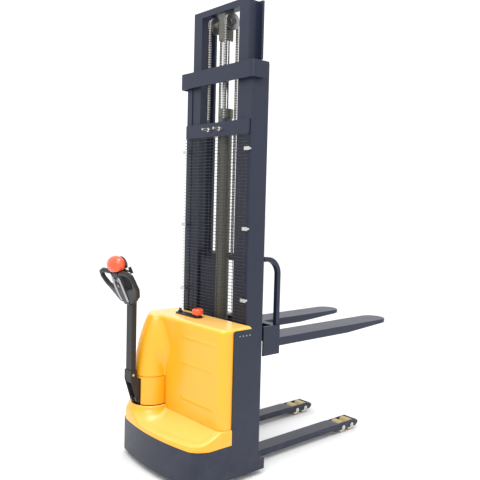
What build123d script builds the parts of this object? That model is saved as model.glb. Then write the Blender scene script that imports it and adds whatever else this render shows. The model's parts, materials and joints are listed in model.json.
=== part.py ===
"""Electric pedestrian stacker: a chassis on two straddle legs, a two-stage mast,
a fork carriage, an offset drive unit and a tiller.

Every station below is measured in the truck's own coordinates: x forward from the
rear face of the outer mast, y to the left of the centreline and z up from the floor.
The base planes shift those coordinates so that the model's origin lies on the floor
below the middle of its overall box. All lengths are in millimetres.
"""

import math
import os

from build123d import *

os.makedirs("parts", exist_ok=True)

# ---------------------------------------------------------------- driving dimensions
half_width = 351.0            # centreline to the outside of the chassis side plates
rear_x = -392.0               # rearmost point of the bowed skirt
rear_corner_x = -345.0        # where the bowed rear would meet the sides
rear_corner_radius = 70.0
skirt_bottom = 30.0
skirt_top = 200.0
skirt_wall = 6.0
joint_gap = 0.3               # between curved faces that seat on each other
through = 1.0                 # how far a cut runs past the face that it opens

plate_wall = 8.0              # side plates
plate_rear = -143.0
plate_front_low = 36.0
plate_front_high = 4.0
plate_step_z = 645.0
plate_step_rise = 30.0
plate_top = 766.0
plate_corner = 12.0

cross_rear = -20.0            # base cross member
cross_front = 80.0
cross_bottom = 28.0
cross_top = 84.0

deck_bottom = 204.0           # inner deck that carries battery and drive unit
deck_top = 214.0
deck_front = -22.0
deck_inset = 14.0             # deck edge to the outside of the skirt

leg_centre = 195.0            # legs
leg_width = 90.0
leg_bottom = 31.0
leg_top = 66.0
leg_wall = 8.0
leg_tip = 990.0
leg_pocket_rear = 812.0
nose_length = 18.0
core_front = leg_pocket_rear - 70.0          # the leg is hollow up to here
shoe_rear = leg_pocket_rear - 60.0           # the deeper shoe that holds the wheels
shoe_slope = 20.0
shoe_bottom = leg_bottom - 9.0
shoe_top = leg_top - 2.0
shoe_step_rear = leg_pocket_rear - 26.0
shoe_step_front = leg_pocket_rear - 14.0
nose_under = 18.0             # chamfers of the nose
nose_lift = 15.0
nose_over = 22.0
nose_drop = 14.0

load_wheel_radius = 34.0      # load wheels
load_wheel_width = 70.0
load_axle_radius = 10.0
load_axle_x = (853.0, 931.0)
axle_head = 4.0               # thickness and overhang of an axle's head
tread_round = 3.0
running_gap = 0.05            # radial clearance of a wheel or a lever on its pin

rail_half = 274.0             # outer mast rails
rail_flange = 46.0
rail_depth = 115.0
rail_web = 9.0
rail_flange_wall = 13.0
rail_top = 2100.0
rail_corner = 5.0

inner_half = 226.0            # inner mast rails
inner_flange = 70.0
inner_rear = 4.0
inner_depth = 107.0
inner_web = 12.0
inner_flange_wall = 13.0
inner_bottom = 388.0
inner_top = 2425.0
tie_thick = 12.0              # ties between the inner rails
tie_low = inner_top - tie_thick
tie_flange = 22.0
tie_wall = 10.0
foot_tie_high = 80.0

barrel_x = 58.0               # lift cylinder
barrel_radius = 36.5
barrel_wall = 6.0
barrel_top = 1890.0
rod_radius = 22.5
rod_top = 2250.0
rod_bottom = 420.0
piston_length = 30.0
barrel_foot = 12.0            # closed foot of the barrel
gland_length = 46.0
gland_out = 4.0
port_z = 98.0                 # oil port low on the barrel
port_radius = 9.0
port_out = 15.0
pipe_radius = 6.0
pipe_bend = 18.0
pipe_x = -9.0
pipe_y = 79.0

sheave_x = 30.0               # chain sheaves
sheave_y = 66.0
sheave_z = 2335.0
sheave_radius = 38.0          # to the chain's middle line
sheave_width = 22.0
sheave_pin_radius = 12.0
chain_width = 14.0
chain_thick = 9.0
chain_anchor_high = 18.0      # anchor block on the lower beam
chain_anchor_half = 12.0
bracket_half = 26.0           # block that carries the sheave pin
bracket_corner = 8.0
sheave_hub_out = 6.0
sheave_keeper_out = 5.0
sheave_pin_half = 84.0

upper_beam_low = 2016.0       # bent beam round the top of the outer mast
upper_beam_high = 2100.0
upper_beam_rear = -29.0
upper_beam_front = 78.0
upper_beam_half = 308.0
upper_beam_wall = 8.0
upper_beam_bend = 26.0
spacer_rear = 26.0            # spacers between the beam's ends and the rails
spacer_front = 72.0
spacer_inset = 8.0

lower_beam_low = 1740.0       # plate across the back of the outer mast
lower_beam_high = 1814.0
lower_beam_half = 265.0
lower_beam_wall = 10.0
clamp_y = 46.0                # U-bolt round the lift cylinder
clamp_rod = 6.0
clamp_hole = 7.0
clamp_tail = -64.0
clamp_strap = 52.0
clamp_thick = 12.0
nut_radius = 11.0
nut_high = 7.7
nut_pitch = 9.0

guard_wire = 3.0              # wire guard behind the mast
guard_low = 786.0
guard_high = 1736.0
guard_half = 262.0
guard_rows = 56
guard_columns = 13
guard_x = -lower_beam_wall - 2.0
clip_rear = guard_x - guard_wire - joint_gap
clip_wall = 4.0
clip_half = 9.0
clip_inward = 28.0
clip_bolt = 6.0
clip_out = 8.0                # clip bolt to the edge of the guard
clip_low = guard_low + 110.0
clip_high = guard_high - 70.0

panel_x = -212.0              # rear face of the main cover
cover_front = -18.0
cover_top = 775.0
cover_wall = 4.0
cover_corner = 42.0
cover_top_round = 24.0
seam_z = 280.0                # joint between the main cover and the lower cover
seam_gap = 1.5
lip_z = 226.0                 # top of the lower cover's rear rim
lip_rise = 6.0                # the rim climbs by this much to the corners
panel_overlap = 0.5           # the lower cover stops this far from the panel and the side plates
column_side = half_width - plate_wall - joint_gap + panel_overlap
console_hole = 9.0

steer_x = -239.0              # steering axis
steer_y = 232.0
drum_radius = 100.0
drum_wall = 4.0
drum_low = 299.0
drum_high = 449.0
drum_slot = 84.0
plinth_top = 297.0
plinth_top_radius = 118.0
plinth_foot_radius = 165.0
plinth_foot_z = lip_z + 12.0
plinth_waist = 10.0           # concave sweep of the plinth's wall
plinth_waist_drop = 32.0
drum_gap = 1.5
drum_bridge = 10.0            # wall left above the tiller's slot
tower_waist = 26.0            # the tower has drawn in by this much half way up
tower_waist_z = 604.0
tower_tip = 10.0
tower_top = cover_top - 2.0

drive_wheel_radius = 100.0    # drive unit
drive_wheel_width = 60.0
drive_hub_radius = 62.0
drive_axle_radius = 14.0
motor_radius = 58.0
motor_top = drum_high - drum_wall
motor_bevel = 4.0
ring_radius = 66.0            # slewing ring in the deck
ring_high = 10.0
ring_flange = 16.0
housing_low = deck_bottom - 3.5
housing_gap = 4.0
housing_wall = 30.0
housing_half = 44.0

caster_radius = 60.0          # caster on the other side
caster_width = 42.0
caster_trail = 28.0
caster_axle_radius = 8.0
caster_stem_radius = 14.0
caster_cap_radius = 22.0
caster_crown_radius = 40.0
caster_crown_low = 176.0
caster_plate = 6.0
caster_plate_gap = 2.0
caster_plate_half = 30.0
caster_boss = 15.0
caster_axle_out = 8.0

pivot_x = -335.0              # tiller tilt pin
pivot_z = 322.0
pivot_radius = 7.0
pivot_boss = 15.0
pin_head = 3.0
clevis_y = 24.0
clevis_wall = 10.0
clevis_front = -301.0
clevis_top = 300.0
clevis_foot = 14.0
tiller_x = -367.0
arm_width = 58.0              # across the truck
arm_depth = 30.0
arm_wall = 3.0
arm_corner = 5.0
arm_low = 420.0
arm_high = 856.0
arm_socket = 60.0             # the arm runs this far up into the head
bracket_wall = 4.0
bracket_high = 486.0

head_tilt = 25.0              # the head leans back from the arm by this angle
head_length = 186.0
head_depth = 66.0
loop_half = 168.0
loop_thick = 28.0
loop_back = 20.0              # the loops stand this far behind the head's middle plane
knob_radius = 50.0            # big safety button at the end of the head
stem_radius = 17.0
stem_depth = 20.0
knob_along = 222.0            # from the foot of the head to the button's centre
knob_clear = 10.5             # cut face of the button above the head
stem_stop = 11.0              # the stem stops this far above its pocket's floor
head_out_by = -4.0            # middle of the head's body, forward of the arm's line
lever_along = 166.0
lever_radius = 5.0
lever_span = 116.0
tab_along = 174.0
tab_across = 54.0
tab_size = (12.0, 34.0, 12.0)
button_radius = 10.0
button_high = 6.0
button_seat = 2.5             # a button stands this deep in its pocket
button_travel = 2.5
button_places = {"lift_button": (17.0, 146.0), "lower_button": (-17.0, 146.0), "horn_button": (0.0, 112.0)}
lever_out = head_out_by + head_depth / 2 + lever_radius + joint_gap

carriage_plate_y = 146.0      # fork carriage
carriage_plate_wall = 12.0
carriage_low = 680.0
carriage_high = 1112.0
carriage_bar_wall = 14.0
carriage_cheek_wall = 10.0    # side plates of the carriage, outboard of the legs
carriage_cheek_rear = 124.0
fork_top = 676.0
fork_half = 275.0
fork_width = 160.0
fork_wall = 7.0
fork_height = 44.0
fork_tip = 1235.0
shank_rear = 208.0
shank_front = 242.0
shank_low = 590.0
shank_high = 746.0
lowered_drop = 576.0          # the carriage comes down this far from the modelled height
leg_clearance = 5.0
leg_clear_z = leg_top + lowered_drop + leg_clearance
fork_round = 4.0
fork_sole = 800.0             # the underside slopes up from here to the tip
fork_nose_height = 18.0
fork_nose = fork_tip - fork_width / 2 - 5.0
guard_bar = 24.0              # square bar that rises from each fork
guard_bar_y = 257.0
guard_bar_bend = 84.0
guard_end_x = 134.0
lug_depth = 20.0              # lugs that hold the chain ends
lug_high = 30.0
roller_x = inner_rear + inner_depth / 2      # mast and carriage rollers
roller_radius = 43.5
fixed_roller_radius = 39.5
roller_pin_radius = 14.0
roller_gap = 3.0
outer_roller_z = 2060.0
inner_roller_rise = 60.0
outer_roller_width = 25.0
outer_roller_gap = 2.0
carriage_roller_low = carriage_low + 84.0
carriage_roller_high = carriage_high - 60.0

console_x = -100.0            # switches on top of the cover
key_y = 162.0
stop_y = 4.0
console_high = cover_top + 8.0
console_width = 50.0
console_overhang = 26.0
switch_stem = 8.7             # stem of the key switch and of the stop knob
key_collar = 13.0
key_bow = (3.0, 22.0, 14.0)
stop_radius = 30.0
stop_collar = 16.0
stop_seat = 12.0              # underside of the mushroom above the console
stop_high = 28.0
stop_round = 11.0

battery_x = (-202.0, -34.0)   # two battery blocks, one above the other
battery_y = (-322.0, 8.0)
battery_high = 216.0
battery_pitch = 230.0
battery_corner = 6.0
terminal_x = -118.0
terminal_y = (-280.0, -34.0)
terminal_radius = 9.0

controller_z = (686.0, 764.0)
controller_y = (-262.0, -60.0)
controller_plate = 8.0
controller_depth = 82.0
controller_inset = 12.0

pump_x = (-128.0, -34.0)      # oil tank, valve block and pump motor
pump_y = (36.0, 122.0)
tank_high = 300.0
tank_corner = 10.0
valve_high = 52.0
valve_inset = 10.0
pump_motor_high = 156.0
pump_motor_radius = 36.0

head_back = -tiller_x + knob_along * math.sin(math.radians(head_tilt)) + knob_radius
ref_x = (head_back - fork_tip) / 2
ref_y = (half_width - (steer_y + loop_half)) / 2


# ---------------------------------------------------------------- planes and helpers
def level(z, x=0.0, y=0.0):
    """Horizontal plane at height z, drawn in truck x and y."""
    return Plane(origin=(ref_x + x, ref_y + y, z))


def upright(y=0.0):
    """Vertical fore-and-aft plane: local x is forward, local y is up."""
    return Plane(origin=(ref_x, ref_y + y, 0), x_dir=(1, 0, 0), z_dir=(0, -1, 0))


def crosswise(x=0.0):
    """Vertical plane across the truck: local x is to the left, local y is up."""
    return Plane(origin=(ref_x + x, ref_y, 0), x_dir=(0, 1, 0), z_dir=(1, 0, 0))


def at(x, y, z):
    """Point given in truck coordinates."""
    return (ref_x + x, ref_y + y, z)


def vertical_axis(x, y):
    """Upright axis through a point in truck x and y."""
    return Axis(at(x, y, 0), (0, 0, 1))


def profile_plane(x, y):
    """Vertical plane through an upright axis: local x is the radius, local y is up."""
    return Plane(origin=at(x, y, 0), x_dir=(1, 0, 0), z_dir=(0, -1, 0))


def block(x0, x1, y0, y1, z0, z1, mode=Mode.ADD):
    """Square block between two corners, added to the part that is being built."""
    with Locations(at(x0, y0, z0)):
        Box(x1 - x0, y1 - y0, z1 - z0, align=Align.MIN, mode=mode)


def post(x, y, z0, z1, radius, mode=Mode.ADD):
    """Upright cylinder between two heights."""
    with Locations(at(x, y, (z0 + z1) / 2)):
        Cylinder(radius, z1 - z0, mode=mode)


def cross_pin(x, z, y0, y1, radius, mode=Mode.ADD):
    """Cylinder across the truck between two y stations."""
    with Locations(at(x, (y0 + y1) / 2, z)):
        Cylinder(radius, y1 - y0, rotation=(90, 0, 0), mode=mode)


def fore_pin(y, z, x0, x1, radius, mode=Mode.ADD):
    """Cylinder along the truck between two x stations."""
    with Locations(at((x0 + x1) / 2, y, z)):
        Cylinder(radius, x1 - x0, rotation=(0, 90, 0), mode=mode)


def ring_pin(x, z, y0, side, inner, outer, radius, mode=Mode.ADD):
    """Cylinder across the truck between two distances from y0, on one side of it."""
    near = y0 + side * inner
    far = y0 + side * outer
    cross_pin(x, z, min(near, far), max(near, far), radius, mode=mode)


def save(builder, name):
    """Label a finished piece and write it to its own file."""
    builder.part.label = name
    export_step(builder.part, f"parts/{name}.step")


def chassis_outline(inset=0.0, front=plate_rear):
    """Plan of the chassis behind x = front: straight sides and a bowed, round-cornered rear."""
    side = half_width - inset
    corner = rear_corner_x + inset
    with BuildLine() as outline:
        Line((front, -side), (corner, -side))
        ThreePointArc((corner, -side), (rear_x + inset, 0), (corner, side))
        Line((corner, side), (front, side))
        Line((front, side), (front, -side))
        corners = outline.vertices().group_by(Axis.X)[0]
        fillet(corners, radius=rear_corner_radius - inset)
    make_face(outline.edges())


# ---------------------------------------------------------------- chassis weldment
with BuildPart() as rear_skirt:
    with BuildSketch(level(skirt_bottom)):
        chassis_outline()
    extrude(amount=skirt_top - skirt_bottom)
    with BuildSketch(level(skirt_bottom)):
        chassis_outline(inset=skirt_wall, front=plate_rear + through)
    extrude(amount=skirt_top - skirt_bottom, mode=Mode.SUBTRACT)
save(rear_skirt, "rear_skirt")

for side, name in ((-1, "side_plate_right"), (1, "side_plate_left")):
    with BuildPart() as side_plate:
        with BuildSketch(upright(side * (half_width - plate_wall / 2))):
            with BuildLine():
                Polyline(
                    (plate_rear, skirt_bottom),
                    (plate_front_low, skirt_bottom),
                    (plate_front_low, plate_step_z),
                    (plate_front_high, plate_step_z + plate_step_rise),
                    (plate_front_high, plate_top),
                    (plate_rear, plate_top),
                    close=True,
                )
            make_face()
            fillet(vertices().group_by(Axis.Y)[-1], radius=plate_corner)
        extrude(amount=plate_wall / 2, both=True)
        block(
            cross_rear, cross_front,
            -half_width, half_width,
            cross_bottom, cross_top,
            mode=Mode.SUBTRACT,
        )
    save(side_plate, name)

with BuildPart() as base_cross_member:
    block(cross_rear, cross_front, -half_width, half_width, cross_bottom, cross_top)
    block(
        cross_rear + leg_wall, cross_front - leg_wall,
        -half_width - through, half_width + through,
        cross_bottom + leg_wall, cross_top - leg_wall,
        mode=Mode.SUBTRACT,
    )
    for side in (-1, 1):
        end = side * (half_width - plate_wall / 2)
        block(
            cross_rear, cross_front,
            end - plate_wall / 2, end + plate_wall / 2,
            cross_bottom, cross_top,
        )
save(base_cross_member, "base_cross_member")

for side, name in ((-1, "leg_right"), (1, "leg_left")):
    with BuildPart() as leg:
        with BuildSketch(upright(side * leg_centre)):
            with BuildLine():
                Polyline(
                    (cross_front, leg_bottom),
                    (shoe_rear, leg_bottom),
                    (shoe_rear + shoe_slope, shoe_bottom),
                    (leg_tip - nose_under, shoe_bottom),
                    (leg_tip, shoe_bottom + nose_lift),
                    (leg_tip, shoe_top - nose_drop),
                    (leg_tip - nose_over, shoe_top),
                    (shoe_step_front, shoe_top),
                    (shoe_step_rear, leg_top),
                    (cross_front, leg_top),
                    close=True,
                )
            make_face()
        extrude(amount=leg_width / 2, both=True)
        inner = leg_width / 2 - leg_wall
        mid = side * leg_centre
        block(
            leg_pocket_rear, leg_tip - nose_length,
            mid - inner, mid + inner,
            0, leg_top + through,
            mode=Mode.SUBTRACT,
        )
        block(
            cross_front - through, core_front,
            mid - inner, mid + inner,
            leg_bottom + leg_wall, leg_top - leg_wall,
            mode=Mode.SUBTRACT,
        )
        for x in load_axle_x:
            cross_pin(
                x, load_wheel_radius, mid - leg_width, mid + leg_width,
                load_axle_radius, mode=Mode.SUBTRACT,
            )
    save(leg, name)

with BuildPart() as load_wheel_axles:
    for side in (-1, 1):
        mid = side * leg_centre
        for x in load_axle_x:
            half = leg_width / 2
            cross_pin(x, load_wheel_radius, mid - half, mid + half, load_axle_radius)
            for end in (-1, 1):
                ring_pin(
                    x, load_wheel_radius, mid, end,
                    half, half + axle_head,
                    load_axle_radius + axle_head,
                )
save(load_wheel_axles, "load_wheel_axles")

with BuildPart() as inner_deck:
    with BuildSketch(level(deck_bottom)):
        chassis_outline(inset=deck_inset, front=deck_front)
        with Locations((steer_x, steer_y)):
            Circle(ring_radius + joint_gap, mode=Mode.SUBTRACT)
        with Locations((steer_x, -steer_y)):
            Circle(caster_stem_radius, mode=Mode.SUBTRACT)
    extrude(amount=deck_top - deck_bottom)
save(inner_deck, "inner_deck")


# ---------------------------------------------------------------- yellow covers
def lower_cover_body(inset):
    """Solid of the lower cover: a sloping deck with a flared plinth round the steering axis."""
    with BuildPart() as deck:
        with BuildSketch(level(skirt_top)):
            chassis_outline(inset=inset, front=plate_rear)
        extrude(amount=plinth_top - skirt_top)
        with BuildSketch(upright()):
            with BuildLine():
                Polyline(
                    (rear_x - through, lip_z - inset),
                    (rear_corner_x, lip_z + lip_rise - inset),
                    (panel_x, seam_z - inset),
                    (plate_rear + through, seam_z - inset),
                    (plate_rear + through, plinth_top + through),
                    (rear_x - through, plinth_top + through),
                    close=True,
                )
            make_face()
        extrude(amount=half_width + through, both=True, mode=Mode.SUBTRACT)
    with BuildPart() as plinth:
        with BuildSketch(profile_plane(steer_x, steer_y)):
            with BuildLine():
                Line((0, plinth_top - inset), (plinth_top_radius - inset, plinth_top - inset))
                ThreePointArc(
                    (plinth_top_radius - inset, plinth_top - inset),
                    (plinth_top_radius + plinth_waist - inset, plinth_top - plinth_waist_drop - inset),
                    (plinth_foot_radius - inset, plinth_foot_z - inset),
                )
                Polyline(
                    (plinth_foot_radius - inset, plinth_foot_z - inset),
                    (plinth_foot_radius - inset, skirt_top),
                    (0, skirt_top),
                    (0, plinth_top - inset),
                )
            make_face()
        revolve(axis=vertical_axis(steer_x, steer_y))
        with BuildSketch(level(skirt_top)):
            chassis_outline(inset=inset, front=plate_rear)
        extrude(amount=plinth_top - skirt_top, mode=Mode.INTERSECT)
    return deck.part + plinth.part


with BuildPart() as lower_cover:
    add(lower_cover_body(0.0))
    add(lower_cover_body(cover_wall), mode=Mode.SUBTRACT)
    split(bisect_by=crosswise(plate_rear - panel_overlap), keep=Keep.BOTTOM)
    with BuildSketch(level(skirt_top - through)):
        with BuildLine():
            Polyline(
                (panel_x - panel_overlap, -column_side),
                (panel_x - panel_overlap, column_side),
                (plate_rear + through, column_side),
                (plate_rear + through, -column_side),
                close=True,
            )
        make_face()
        fillet(vertices().group_by(Axis.X)[0], radius=cover_corner + panel_overlap)
    extrude(amount=plinth_top - skirt_top + 2 * through, mode=Mode.SUBTRACT)
    post(
        steer_x, steer_y,
        skirt_top - through, plinth_top + through,
        drum_radius + drum_gap,
        mode=Mode.SUBTRACT,
    )
save(lower_cover, "lower_cover")


def main_cover_body(inset):
    """Solid of the main cover: a flat panel and a domed tower over the steering axis."""
    side = half_width - plate_wall - joint_gap - inset
    low = skirt_top
    with BuildPart() as body:
        with BuildSketch(level(low)):
            with Locations(((panel_x + cover_front) / 2 + inset / 2, 0)):
                Rectangle(cover_front - panel_x - inset, 2 * side)
            rear_corners = vertices().group_by(Axis.X)[0]
            fillet(rear_corners, radius=cover_corner - inset)
        extrude(amount=cover_top - inset - low)
        rear_top = edges().group_by(Axis.Z)[-1].sort_by(Axis.X)[:-1]
        rear_top = [edge for edge in rear_top if edge.center().X < ref_x + panel_x + 60]
        fillet(rear_top, radius=cover_top_round - inset)
    with BuildPart() as tower:
        with BuildSketch(profile_plane(steer_x, steer_y)):
            with BuildLine():
                Polyline(
                    (0, tower_top - inset),
                    (0, drum_high),
                    (drum_radius - inset, drum_high),
                )
                ThreePointArc(
                    (drum_radius - inset, drum_high),
                    (drum_radius - tower_waist - inset, tower_waist_z),
                    (tower_tip, tower_top - inset),
                )
                Line((tower_tip, tower_top - inset), (0, tower_top - inset))
            make_face()
        revolve(axis=vertical_axis(steer_x, steer_y))
    return body.part + tower.part


with BuildPart() as main_cover:
    add(main_cover_body(0.0))
    add(main_cover_body(cover_wall), mode=Mode.SUBTRACT)
    block(
        cover_front - through, cover_front + through,
        -half_width, half_width,
        0, cover_top,
        mode=Mode.SUBTRACT,
    )
    post(
        steer_x, steer_y,
        skirt_top - through, drum_high + seam_gap,
        drum_radius + drum_gap,
        mode=Mode.SUBTRACT,
    )
    block(
        panel_x - through, cover_front + through,
        -half_width, half_width,
        0, deck_top + joint_gap,
        mode=Mode.SUBTRACT,
    )
    for y in (key_y, stop_y):
        post(
            console_x, y,
            cover_top - 2 * cover_wall, cover_top + through,
            console_hole,
            mode=Mode.SUBTRACT,
        )
save(main_cover, "main_cover")

with BuildPart() as switch_console:
    with BuildSketch(level(cover_top)):
        with Locations((console_x, (key_y + stop_y) / 2)):
            SlotOverall(key_y - stop_y + 2 * console_overhang, console_width, rotation=90)
        with Locations((console_x, key_y), (console_x, stop_y)):
            Circle(console_hole, mode=Mode.SUBTRACT)
    extrude(amount=console_high - cover_top)
    fillet(edges().group_by(Axis.Z)[-1].sort_by(SortBy.LENGTH)[-2:], radius=2)
save(switch_console, "switch_console")

with BuildPart() as key_switch:
    collar_top = console_high + cover_wall * 2
    post(console_x, key_y, cover_top - 26, console_high + joint_gap, switch_stem)
    post(console_x, key_y, console_high + joint_gap, collar_top, key_collar)
    with Locations(at(console_x, key_y, collar_top)):
        Box(*key_bow, align=(Align.CENTER, Align.CENTER, Align.MIN))
save(key_switch, "key_switch")

with BuildPart() as stop_knob:
    seat = console_high + stop_seat
    post(console_x, stop_y, cover_top - 20, seat + through, switch_stem)
    post(console_x, stop_y, seat - 2 * cover_wall, seat, stop_collar)
    post(console_x, stop_y, seat, seat + stop_high, stop_radius)
    crown = edges().filter_by(GeomType.CIRCLE).group_by(Axis.Z)
    fillet(crown[-1], radius=stop_round)
save(stop_knob, "stop_knob")

# ---------------------------------------------------------------- power and hydraulics
with BuildPart() as batteries:
    for z in (deck_top, deck_top + battery_pitch):
        block(*battery_x, *battery_y, z, z + battery_high)
        for y in terminal_y:
            post(terminal_x, y, z + battery_high, z + battery_pitch, terminal_radius)
    fillet(edges().filter_by(Axis.Z).filter_by(GeomType.LINE), radius=battery_corner)
save(batteries, "batteries")

with BuildPart() as controller:
    block(-controller_plate, 0, *controller_y, *controller_z)
    block(
        -controller_plate - controller_depth, -controller_plate,
        controller_y[0] + controller_inset, controller_y[1] - controller_inset,
        controller_z[0] + cover_wall, controller_z[1] - cover_wall,
    )
save(controller, "controller")

with BuildPart() as hydraulic_pump:
    tank_top = deck_top + tank_high
    block(*pump_x, *pump_y, deck_top, tank_top)
    fillet(edges().filter_by(Axis.Z), radius=tank_corner)
    block(
        pump_x[0] + valve_inset, pump_x[1] - valve_inset,
        pump_y[0] + valve_inset, pump_y[1] - valve_inset,
        tank_top, tank_top + valve_high,
    )
    post(
        sum(pump_x) / 2, sum(pump_y) / 2,
        tank_top + valve_high, tank_top + valve_high + pump_motor_high,
        pump_motor_radius,
    )
save(hydraulic_pump, "hydraulic_pump")

# ---------------------------------------------------------------- outer mast
for side, name in ((-1, "mast_rail_right"), (1, "mast_rail_left")):
    with BuildPart() as rail:
        with BuildSketch(level(cross_top)):
            with BuildLine():
                outer = side * rail_half
                web = side * (rail_half - rail_web)
                lip = side * (rail_half - rail_flange)
                Polyline(
                    (0, outer), (rail_depth, outer), (rail_depth, lip),
                    (rail_depth - rail_flange_wall, lip),
                    (rail_depth - rail_flange_wall, web),
                    (rail_flange_wall, web), (rail_flange_wall, lip), (0, lip),
                    close=True,
                )
            make_face()
        extrude(amount=rail_top - cross_top)
        fillet(edges().filter_by(Axis.Z).group_by(Axis.Y)[0 if side < 0 else -1], radius=rail_corner)
    save(rail, name)

with BuildPart() as upper_beam:
    with BuildSketch(level(upper_beam_low)):
        half = upper_beam_half
        with BuildLine():
            Polyline(
                (upper_beam_front, -half), (upper_beam_rear, -half),
                (upper_beam_rear, half), (upper_beam_front, half),
            )
            fillet(vertices().group_by(Axis.X)[0], radius=upper_beam_bend)
            offset(amount=upper_beam_wall, side=Side.RIGHT, closed=True)
        make_face()
    extrude(amount=upper_beam_high - upper_beam_low)
    inside = upper_beam_half - upper_beam_wall
    for side in (-1, 1):
        near = min(side * rail_half, side * inside)
        far = max(side * rail_half, side * inside)
        block(
            spacer_rear, spacer_front,
            near, far,
            upper_beam_low + spacer_inset, upper_beam_high - spacer_inset,
        )
save(upper_beam, "upper_beam")

clamp_z = (lower_beam_low + lower_beam_high) / 2
with BuildPart() as lower_beam:
    block(-lower_beam_wall, 0, -lower_beam_half, lower_beam_half, lower_beam_low, lower_beam_high)
    for y in (-clamp_y, clamp_y):
        fore_pin(y, clamp_z, -lower_beam_wall - through, through, clamp_hole, mode=Mode.SUBTRACT)
    for side in (-1, 1):
        block(
            -lower_beam_wall, -through,
            side * sheave_y - chain_anchor_half, side * sheave_y + chain_anchor_half,
            lower_beam_high, lower_beam_high + chain_anchor_high,
        )
save(lower_beam, "lower_beam")

with BuildPart() as lift_cylinder:
    post(barrel_x, 0, cross_top, barrel_top, barrel_radius)
    bore_low = cross_top + barrel_foot
    gland_low = barrel_top - gland_length
    post(barrel_x, 0, gland_low, barrel_top, barrel_radius + gland_out)
    post(barrel_x, 0, bore_low, barrel_top + through, rod_radius + joint_gap, mode=Mode.SUBTRACT)
    post(barrel_x, 0, bore_low, gland_low, barrel_radius - barrel_wall, mode=Mode.SUBTRACT)
    cross_pin(barrel_x, port_z, barrel_radius - barrel_wall / 2, barrel_radius + port_out, port_radius)
save(lift_cylinder, "lift_cylinder")


with BuildPart() as mast_fasteners:
    for y in (-clamp_y, clamp_y):
        fore_pin(y, clamp_z, clamp_tail, barrel_x, clamp_rod)
        for count in (0, 1):
            nut_rear = -lower_beam_wall - joint_gap - nut_high - count * nut_pitch
            fore_pin(y, clamp_z, nut_rear, nut_rear + nut_high, nut_radius)
    with BuildSketch(level(clamp_z - clamp_thick / 2)):
        with Locations((barrel_x, 0)):
            Circle(clamp_strap)
            Circle(barrel_radius + joint_gap, mode=Mode.SUBTRACT)
        with Locations((barrel_x - clamp_strap, 0)):
            Rectangle(2 * clamp_strap, 2 * clamp_strap + through, mode=Mode.SUBTRACT)
    extrude(amount=clamp_thick)
    for z in (clip_low, (guard_low + guard_high) / 2, clip_high):
        for side in (-1, 1):
            y = side * (guard_half + clip_out)
            inner = y - side * clip_inward
            outer = y + side * clip_half
            fore_pin(y, z, clip_rear, 0, clip_bolt)
            block(
                clip_rear - clip_wall, clip_rear,
                min(inner, outer), max(inner, outer),
                z - clip_half, z + clip_half,
            )
save(mast_fasteners, "mast_fasteners")

with BuildPart() as mesh_guard:
    rise = guard_high - guard_low
    with BuildSketch(crosswise(guard_x - guard_wire)):
        with Locations((0, (guard_low + guard_high) / 2)):
            Rectangle(2 * guard_half, rise)
            column_step = (2 * guard_half - guard_wire) / (guard_columns - 1)
            row_step = (rise - guard_wire) / (guard_rows - 1)
            with GridLocations(column_step, row_step, guard_columns - 1, guard_rows - 1):
                Rectangle(column_step - guard_wire, row_step - guard_wire, mode=Mode.SUBTRACT)
    extrude(amount=guard_wire)
save(mesh_guard, "mesh_guard")


with BuildPart() as outer_rollers:
    for side in (-1, 1):
        face = inner_half - outer_roller_gap
        inboard = face - outer_roller_width
        web = rail_half - rail_web
        ring_pin(roller_x, outer_roller_z, 0, side, inboard, face, fixed_roller_radius)
        ring_pin(roller_x, outer_roller_z, 0, side, face, web, roller_pin_radius)
save(outer_rollers, "outer_rollers")

with BuildPart() as lift_pipe:
    with BuildLine() as pipe_route:
        valve_middle = deck_top + tank_high + valve_high / 2
        FilletPolyline(
            at(pump_x[1] - valve_inset, pipe_y, valve_middle),
            at(pipe_x, pipe_y, valve_middle),
            at(pipe_x, pipe_y, port_z),
            at(barrel_x, pipe_y, port_z),
            at(barrel_x, barrel_radius + port_out, port_z),
            radius=pipe_bend,
        )
    with BuildSketch(Plane(origin=pipe_route.line @ 0, z_dir=pipe_route.line % 0)):
        Circle(pipe_radius)
    sweep(path=pipe_route.line)
save(lift_pipe, "lift_pipe")

# ---------------------------------------------------------------- inner mast
for side, name in ((-1, "inner_rail_right"), (1, "inner_rail_left")):
    with BuildPart() as inner_rail:
        middle = side * (inner_half - inner_flange / 2)
        with BuildSketch(level(inner_bottom)):
            with Locations((inner_rear + inner_flange_wall / 2, middle)):
                Rectangle(inner_flange_wall, inner_flange)
            with Locations((inner_rear + inner_depth - inner_flange_wall / 2, middle)):
                Rectangle(inner_flange_wall, inner_flange)
            with Locations((inner_rear + inner_depth / 2, middle)):
                Rectangle(inner_depth, inner_web)
        extrude(amount=inner_top - inner_bottom)
    save(inner_rail, name)

inner_gap = inner_half - inner_flange        # half the space between the inner rails

with BuildPart() as inner_ties:
    block(
        inner_rear, inner_rear + inner_depth,
        -inner_gap, inner_gap,
        tie_low, inner_top,
    )
    block(
        inner_rear, inner_rear + tie_wall,
        -inner_gap, inner_gap,
        tie_low - tie_flange, tie_low,
    )
    block(
        inner_rear, inner_rear + tie_wall,
        -inner_gap, inner_gap,
        inner_bottom + tie_thick, inner_bottom + tie_thick + foot_tie_high,
    )
save(inner_ties, "inner_ties")

with BuildPart() as inner_rollers:
    for side in (-1, 1):
        web = inner_half - inner_flange / 2 + inner_web / 2
        face = inner_half + roller_gap
        outboard = rail_half - rail_web - roller_gap
        roller_z = inner_bottom + inner_roller_rise
        ring_pin(roller_x, roller_z, 0, side, face, outboard, roller_radius)
        ring_pin(roller_x, roller_z, 0, side, web, face, roller_pin_radius)
save(inner_rollers, "inner_rollers")

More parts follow.
